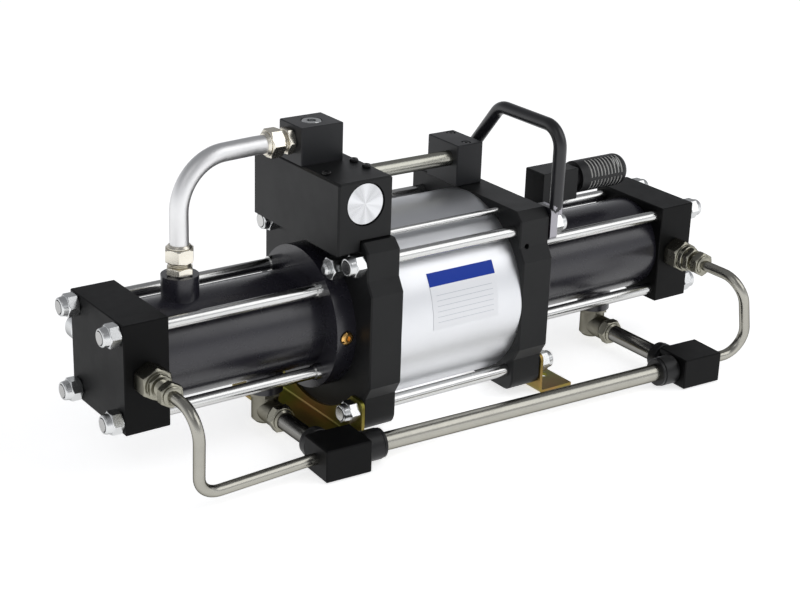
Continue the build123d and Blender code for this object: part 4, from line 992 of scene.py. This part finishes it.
class PUMP_OT_cooling_joints(bpy.types.Operator):
    """Builds the two nickel joints of the cooling tube: threaded adapters and their nuts"""

    bl_idname = "pump.cooling_joints"
    bl_label = "Cooling joints"

    def execute(self, context):
        ways = ((0, 0, 1), (-1, 0, 0))
        fitting_set(
            "boss_adapters", "cooling_adapters", "nickel", "nickel", ways,
            (("hexagon", 7, 21), ("thread", 10, 9.6)), turns=(30.0, 0.0),
        )
        fitting_set(
            "boss_nuts", "cooling_nuts", "nickel", "nickel", ways,
            (("hexagon", 12.4, 23), ("round", 1.2, 10.6), ("cone", 1.3, 9.0)), turns=(30.0, 0.0),
        )
        return {"FINISHED"}


class PUMP_OT_gas_fittings(bpy.types.Operator):
    """Builds the interstage fittings, the gas tube's nuts and the gas ports at the back"""

    bl_idname = "pump.gas_fittings"
    bl_label = "Gas fittings"

    def execute(self, context):
        fitting_set(
            "check_fittings", "interstage_fittings", "fitting", "bright_steel", ((0, -1, 0),),
            (
                ("round", 12, 10), ("hexagon", 18.5, 25), ("round", 0.8, 10.4), ("hexagon", 4.2, 19),
                ("thread", 14, 7.0),
            ),
            turns=(30.0,),
            second=(
                ("round", 12, 10), ("hexagon", 16.5, 27), ("round", 1.0, 12.2), ("round", 5.0, 12.4),
                ("hexagon", 7.0, 21), ("thread", 8, 7.0),
            ),
        )
        fitting_set(
            "tube_nuts", "gas_tube_nuts", "fitting", "bright_steel", ((0, -1, 0),),
            (("hexagon", 8.2, 19), ("round", 0.9, 8.2), ("cone", 0.9, 5.3)), turns=(30.0,),
            second=(("hexagon", 8.2, 21), ("round", 0.9, 9.2), ("cone", 0.9, 5.6)),
        )
        fitting_set(
            "port_fittings", "gas_port_fittings", "zinc", "bright_steel", ((0, 1, 0),),
            (
                ("round", 12, 10.5), ("hexagon", 14, 26), ("round", 1.2, 11.6), ("thread", 3.9, 12.4),
                ("round", 12.9, 12.5), ("bore", 14, 5.9),
            ),
        )
        return {"FINISHED"}


class PUMP_OT_back_pipe_nuts(bpy.types.Operator):
    """Builds the nuts that hold the back pipes in the elbows, and the smooth nuts of the tees"""

    bl_idname = "pump.back_pipe_nuts"
    bl_label = "Back pipe nuts"

    def execute(self, context):
        fitting_set(
            "pipe_nuts", "elbow_nuts", "fitting", "nickel", ((0, -1, 0),),
            (("round", 1.0, 10.6), ("hexagon", 9.0, 22), ("round", 1.0, 9.8), ("cone", 1.0, 8.3)),
        )
        stacks = []
        for low, high in loose_parts("tee_nuts"):
            middle = (low + high) / 2
            if high.y - low.y < RUN_NUT_LENGTH * MM:
                length, way = BACK_NUT_LENGTH, Vector((0, 1, 0))
            else:
                length, way = RUN_NUT_LENGTH, RUN_WAY if middle.x < 0 else -RUN_WAY
            sections = fitting(
                ("round", NUT_RIM, 12.8), ("round", length - NUT_RIM - NUT_SHOULDER, 13.75),
                ("round", NUT_SHOULDER, 13.1),
            )
            stacks.append((along(middle - way * length / 2 * MM, way), sections))
        piece = mesh_object("smooth_nuts", stack_mesh("smooth_nuts", stacks, NUT_STEPS))
        finish_piece(piece, "coated", "black_metal", "tee_nuts")
        return {"FINISHED"}


class PUMP_OT_plugs(bpy.types.Operator):
    """Builds the pilot plugs, the brass vent plugs and the plug on top of the manifold"""

    bl_idname = "pump.plugs"
    bl_label = "Plugs"

    def execute(self, context):
        fitting_set(
            "pilot_covers", "pilot_plugs", "zinc", "bright_steel", ((-1, 0, 0), (1, 0, 0)),
            (("round", 14, 9), ("hexagon", 12, 18), ("round", 3.6, 5), ("cone", 1.4, 3.2)),
        )
        fitting_set(
            "vent_screws", "vent_plugs", "brass", "brass", ((0, -1, 0),),
            (("round", 6, 4), ("round", 2.4, 5.8), ("cone", 0.6, 4.2), ("socket", 1.8, 2.6)),
        )
        fitting_set(
            "manifold_screw", "manifold_plug", "zinc", "bright_steel", ((0, 0, 1),),
            (("round", 8.4, 9.3), ("cone", 0.6, 8.2), ("socket", 4.0, 4.4)),
        )
        return {"FINISHED"}


class PUMP_OT_cap_screws(bpy.types.Operator):
    """Builds the socket head screws of the valve and the transfer block"""

    bl_idname = "pump.cap_screws"
    bl_label = "Cap screws"

    def execute(self, context):
        sections = fitting(
            ("round", 8, 2.2), ("round", 2.2, 3.9), ("cone", 0.5, 3.3), ("socket", 1.6, 1.7),
        )
        upright = along((0, 0, 0), (0, 0, 1))
        steps = context.scene.pump_hardware.ring_steps
        screw = stack_mesh("cap screw", [(upright, sections)], steps)
        screws = []
        for low, high in loose_parts("cap_screws"):
            middle = (low + high) / 2
            screws.append(row_of_copies(screw, [(middle.x, middle.y, low.z)], (0, 0, 0), "coated"))
        piece = mesh_object("socket_screws", join_meshes("socket_screws", screws))
        finish_piece(piece, "coated", "black_steel", "cap_screws")
        return {"FINISHED"}


class PUMP_OT_studio(bpy.types.Operator):
    """Adds the floor, the lights, the world and the camera"""

    bl_idname = "pump.studio"
    bl_label = "Studio"

    def execute(self, context):
        settings = context.scene.pump_stage
        self.floor()
        self.world(settings.world_strength)
        for name, place, width, share in LAMPS:
            self.lamp(name, place, width, settings.key_power * share)
        self.camera(settings.lens)
        return {"FINISHED"}

    def floor(self):
        """Pale floor that keeps the shadow, and is seen as white."""
        work = bmesh.new()
        bmesh.ops.create_grid(work, x_segments=1, y_segments=1, size=FLOOR_REACH)
        mesh = bpy.data.meshes.new("floor")
        work.to_mesh(mesh)
        work.free()
        floor = mesh_object("floor", mesh)
        material, tree, shader, _ = start_material("Pale floor")
        feed(tree, FLOOR_COLOUR, shader.inputs["Base Color"])
        shader.inputs["Roughness"].default_value = 0.9
        shader.inputs["Specular IOR Level"].default_value = 0.1
        white = tree.nodes.new("ShaderNodeEmission")
        tree.links.new(product(tree, background_rays(tree), FLOOR_GLOW), white.inputs["Strength"])
        both = tree.nodes.new("ShaderNodeAddShader")
        tree.links.new(shader.outputs[0], both.inputs[0])
        tree.links.new(white.outputs[0], both.inputs[1])
        tree.links.new(both.outputs[0], tree.nodes["Material Output"].inputs["Surface"])
        mesh.materials.append(material)

    def world(self, strength):
        """Pale at the horizon, where it is seen as white as the floor, and darker overhead."""
        world = bpy.data.worlds.new("Studio")
        bpy.context.scene.world = world
        world.use_nodes = True
        tree = world.node_tree
        background = tree.nodes["Background"]
        direction = tree.nodes.new("ShaderNodeTexCoord").outputs["Generated"]
        _, _, height = split_vector(tree, direction)
        tree.links.new(ramp_node(tree, height, LOW_SKY, HIGH_SKY), background.inputs["Color"])
        below = math_node(tree, "SUBTRACT", WHITE_UP_TO, height)
        white = math_node(tree, "MULTIPLY", below, 1 / WHITE_FADE, clamp=True)
        lift = product(tree, white, background_rays(tree), WHITE_STRENGTH - strength)
        tree.links.new(math_node(tree, "ADD", lift, strength), background.inputs["Strength"])

    def lamp(self, name, place, width, power):
        """Square lamp at a place, aimed at the barrel's axis."""
        data = bpy.data.lights.new(name, "AREA")
        data.size = width
        data.energy = power
        lamp = bpy.data.objects.new(name, data)
        bpy.context.scene.collection.objects.link(lamp)
        aim = Vector((0, 0, AXIS_Z)) - Vector(place)
        turn = aim.to_track_quat("-Z", "Y").to_matrix().to_4x4()
        lamp.matrix_world = Matrix.Translation(place) @ turn

    def camera(self, lens):
        """Camera at the photograph's place, with its view transform."""
        azimuth, elevation, roll = (
            math.radians(value) for value in (CAMERA_AZIMUTH, CAMERA_ELEVATION, CAMERA_ROLL)
        )
        forward = Vector((
            math.sin(azimuth) * math.cos(elevation),
            math.cos(azimuth) * math.cos(elevation),
            -math.sin(elevation),
        ))
        level_right = Vector((math.cos(azimuth), -math.sin(azimuth), 0))
        level_up = level_right.cross(forward)
        right = math.cos(roll) * level_right + math.sin(roll) * level_up
        up = -math.sin(roll) * level_right + math.cos(roll) * level_up
        data = bpy.data.cameras.new("Photo camera")
        data.lens = lens
        data.sensor_width = SENSOR_WIDTH
        data.clip_end = VIEW_REACH
        camera = bpy.data.objects.new("Photo camera", data)
        turn = Matrix((right, up, -forward)).transposed().to_4x4()
        place = (CAMERA_X, CAMERA_Y, CAMERA_RISE + AXIS_Z)
        camera.matrix_world = Matrix.Translation(place) @ turn
        bpy.context.scene.collection.objects.link(camera)
        bpy.context.scene.camera = camera
        bpy.context.scene.view_settings.view_transform = "Standard"


class PUMP_PT_panel(bpy.types.Panel):
    """Lists the steps that dress the pump"""

    bl_idname = "PUMP_PT_panel"
    bl_label = "Gas booster pump"
    bl_space_type = "VIEW_3D"
    bl_region_type = "UI"
    bl_category = "Pump"

    def draw(self, context):
        for operator in STEPS:
            self.layout.operator(operator.bl_idname)


SETTINGS = {
    "pump_finish": PumpFinishSettings,
    "pump_hardware": PumpHardwareSettings,
    "pump_stage": PumpStageSettings,
}
STEPS = (
    PUMP_OT_finishes, PUMP_OT_lock_nuts, PUMP_OT_cooling_joints, PUMP_OT_gas_fittings,
    PUMP_OT_back_pipe_nuts, PUMP_OT_plugs, PUMP_OT_cap_screws, PUMP_OT_studio,
)


def register():
    """Registers the settings, the operators and the panel."""
    for name, group in SETTINGS.items():
        bpy.utils.register_class(group)
        setattr(bpy.types.Scene, name, PointerProperty(type=group))
    for step in (*STEPS, PUMP_PT_panel):
        bpy.utils.register_class(step)


def unregister():
    """Removes what register added."""
    for step in reversed((*STEPS, PUMP_PT_panel)):
        bpy.utils.unregister_class(step)
    for name, group in SETTINGS.items():
        delattr(bpy.types.Scene, name)
        bpy.utils.unregister_class(group)


def main():
    """Registers the add-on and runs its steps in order."""
    register()
    for step in STEPS:
        section, name = step.bl_idname.split(".")
        getattr(getattr(bpy.ops, section), name)()


if __name__ == "__main__":
    main()
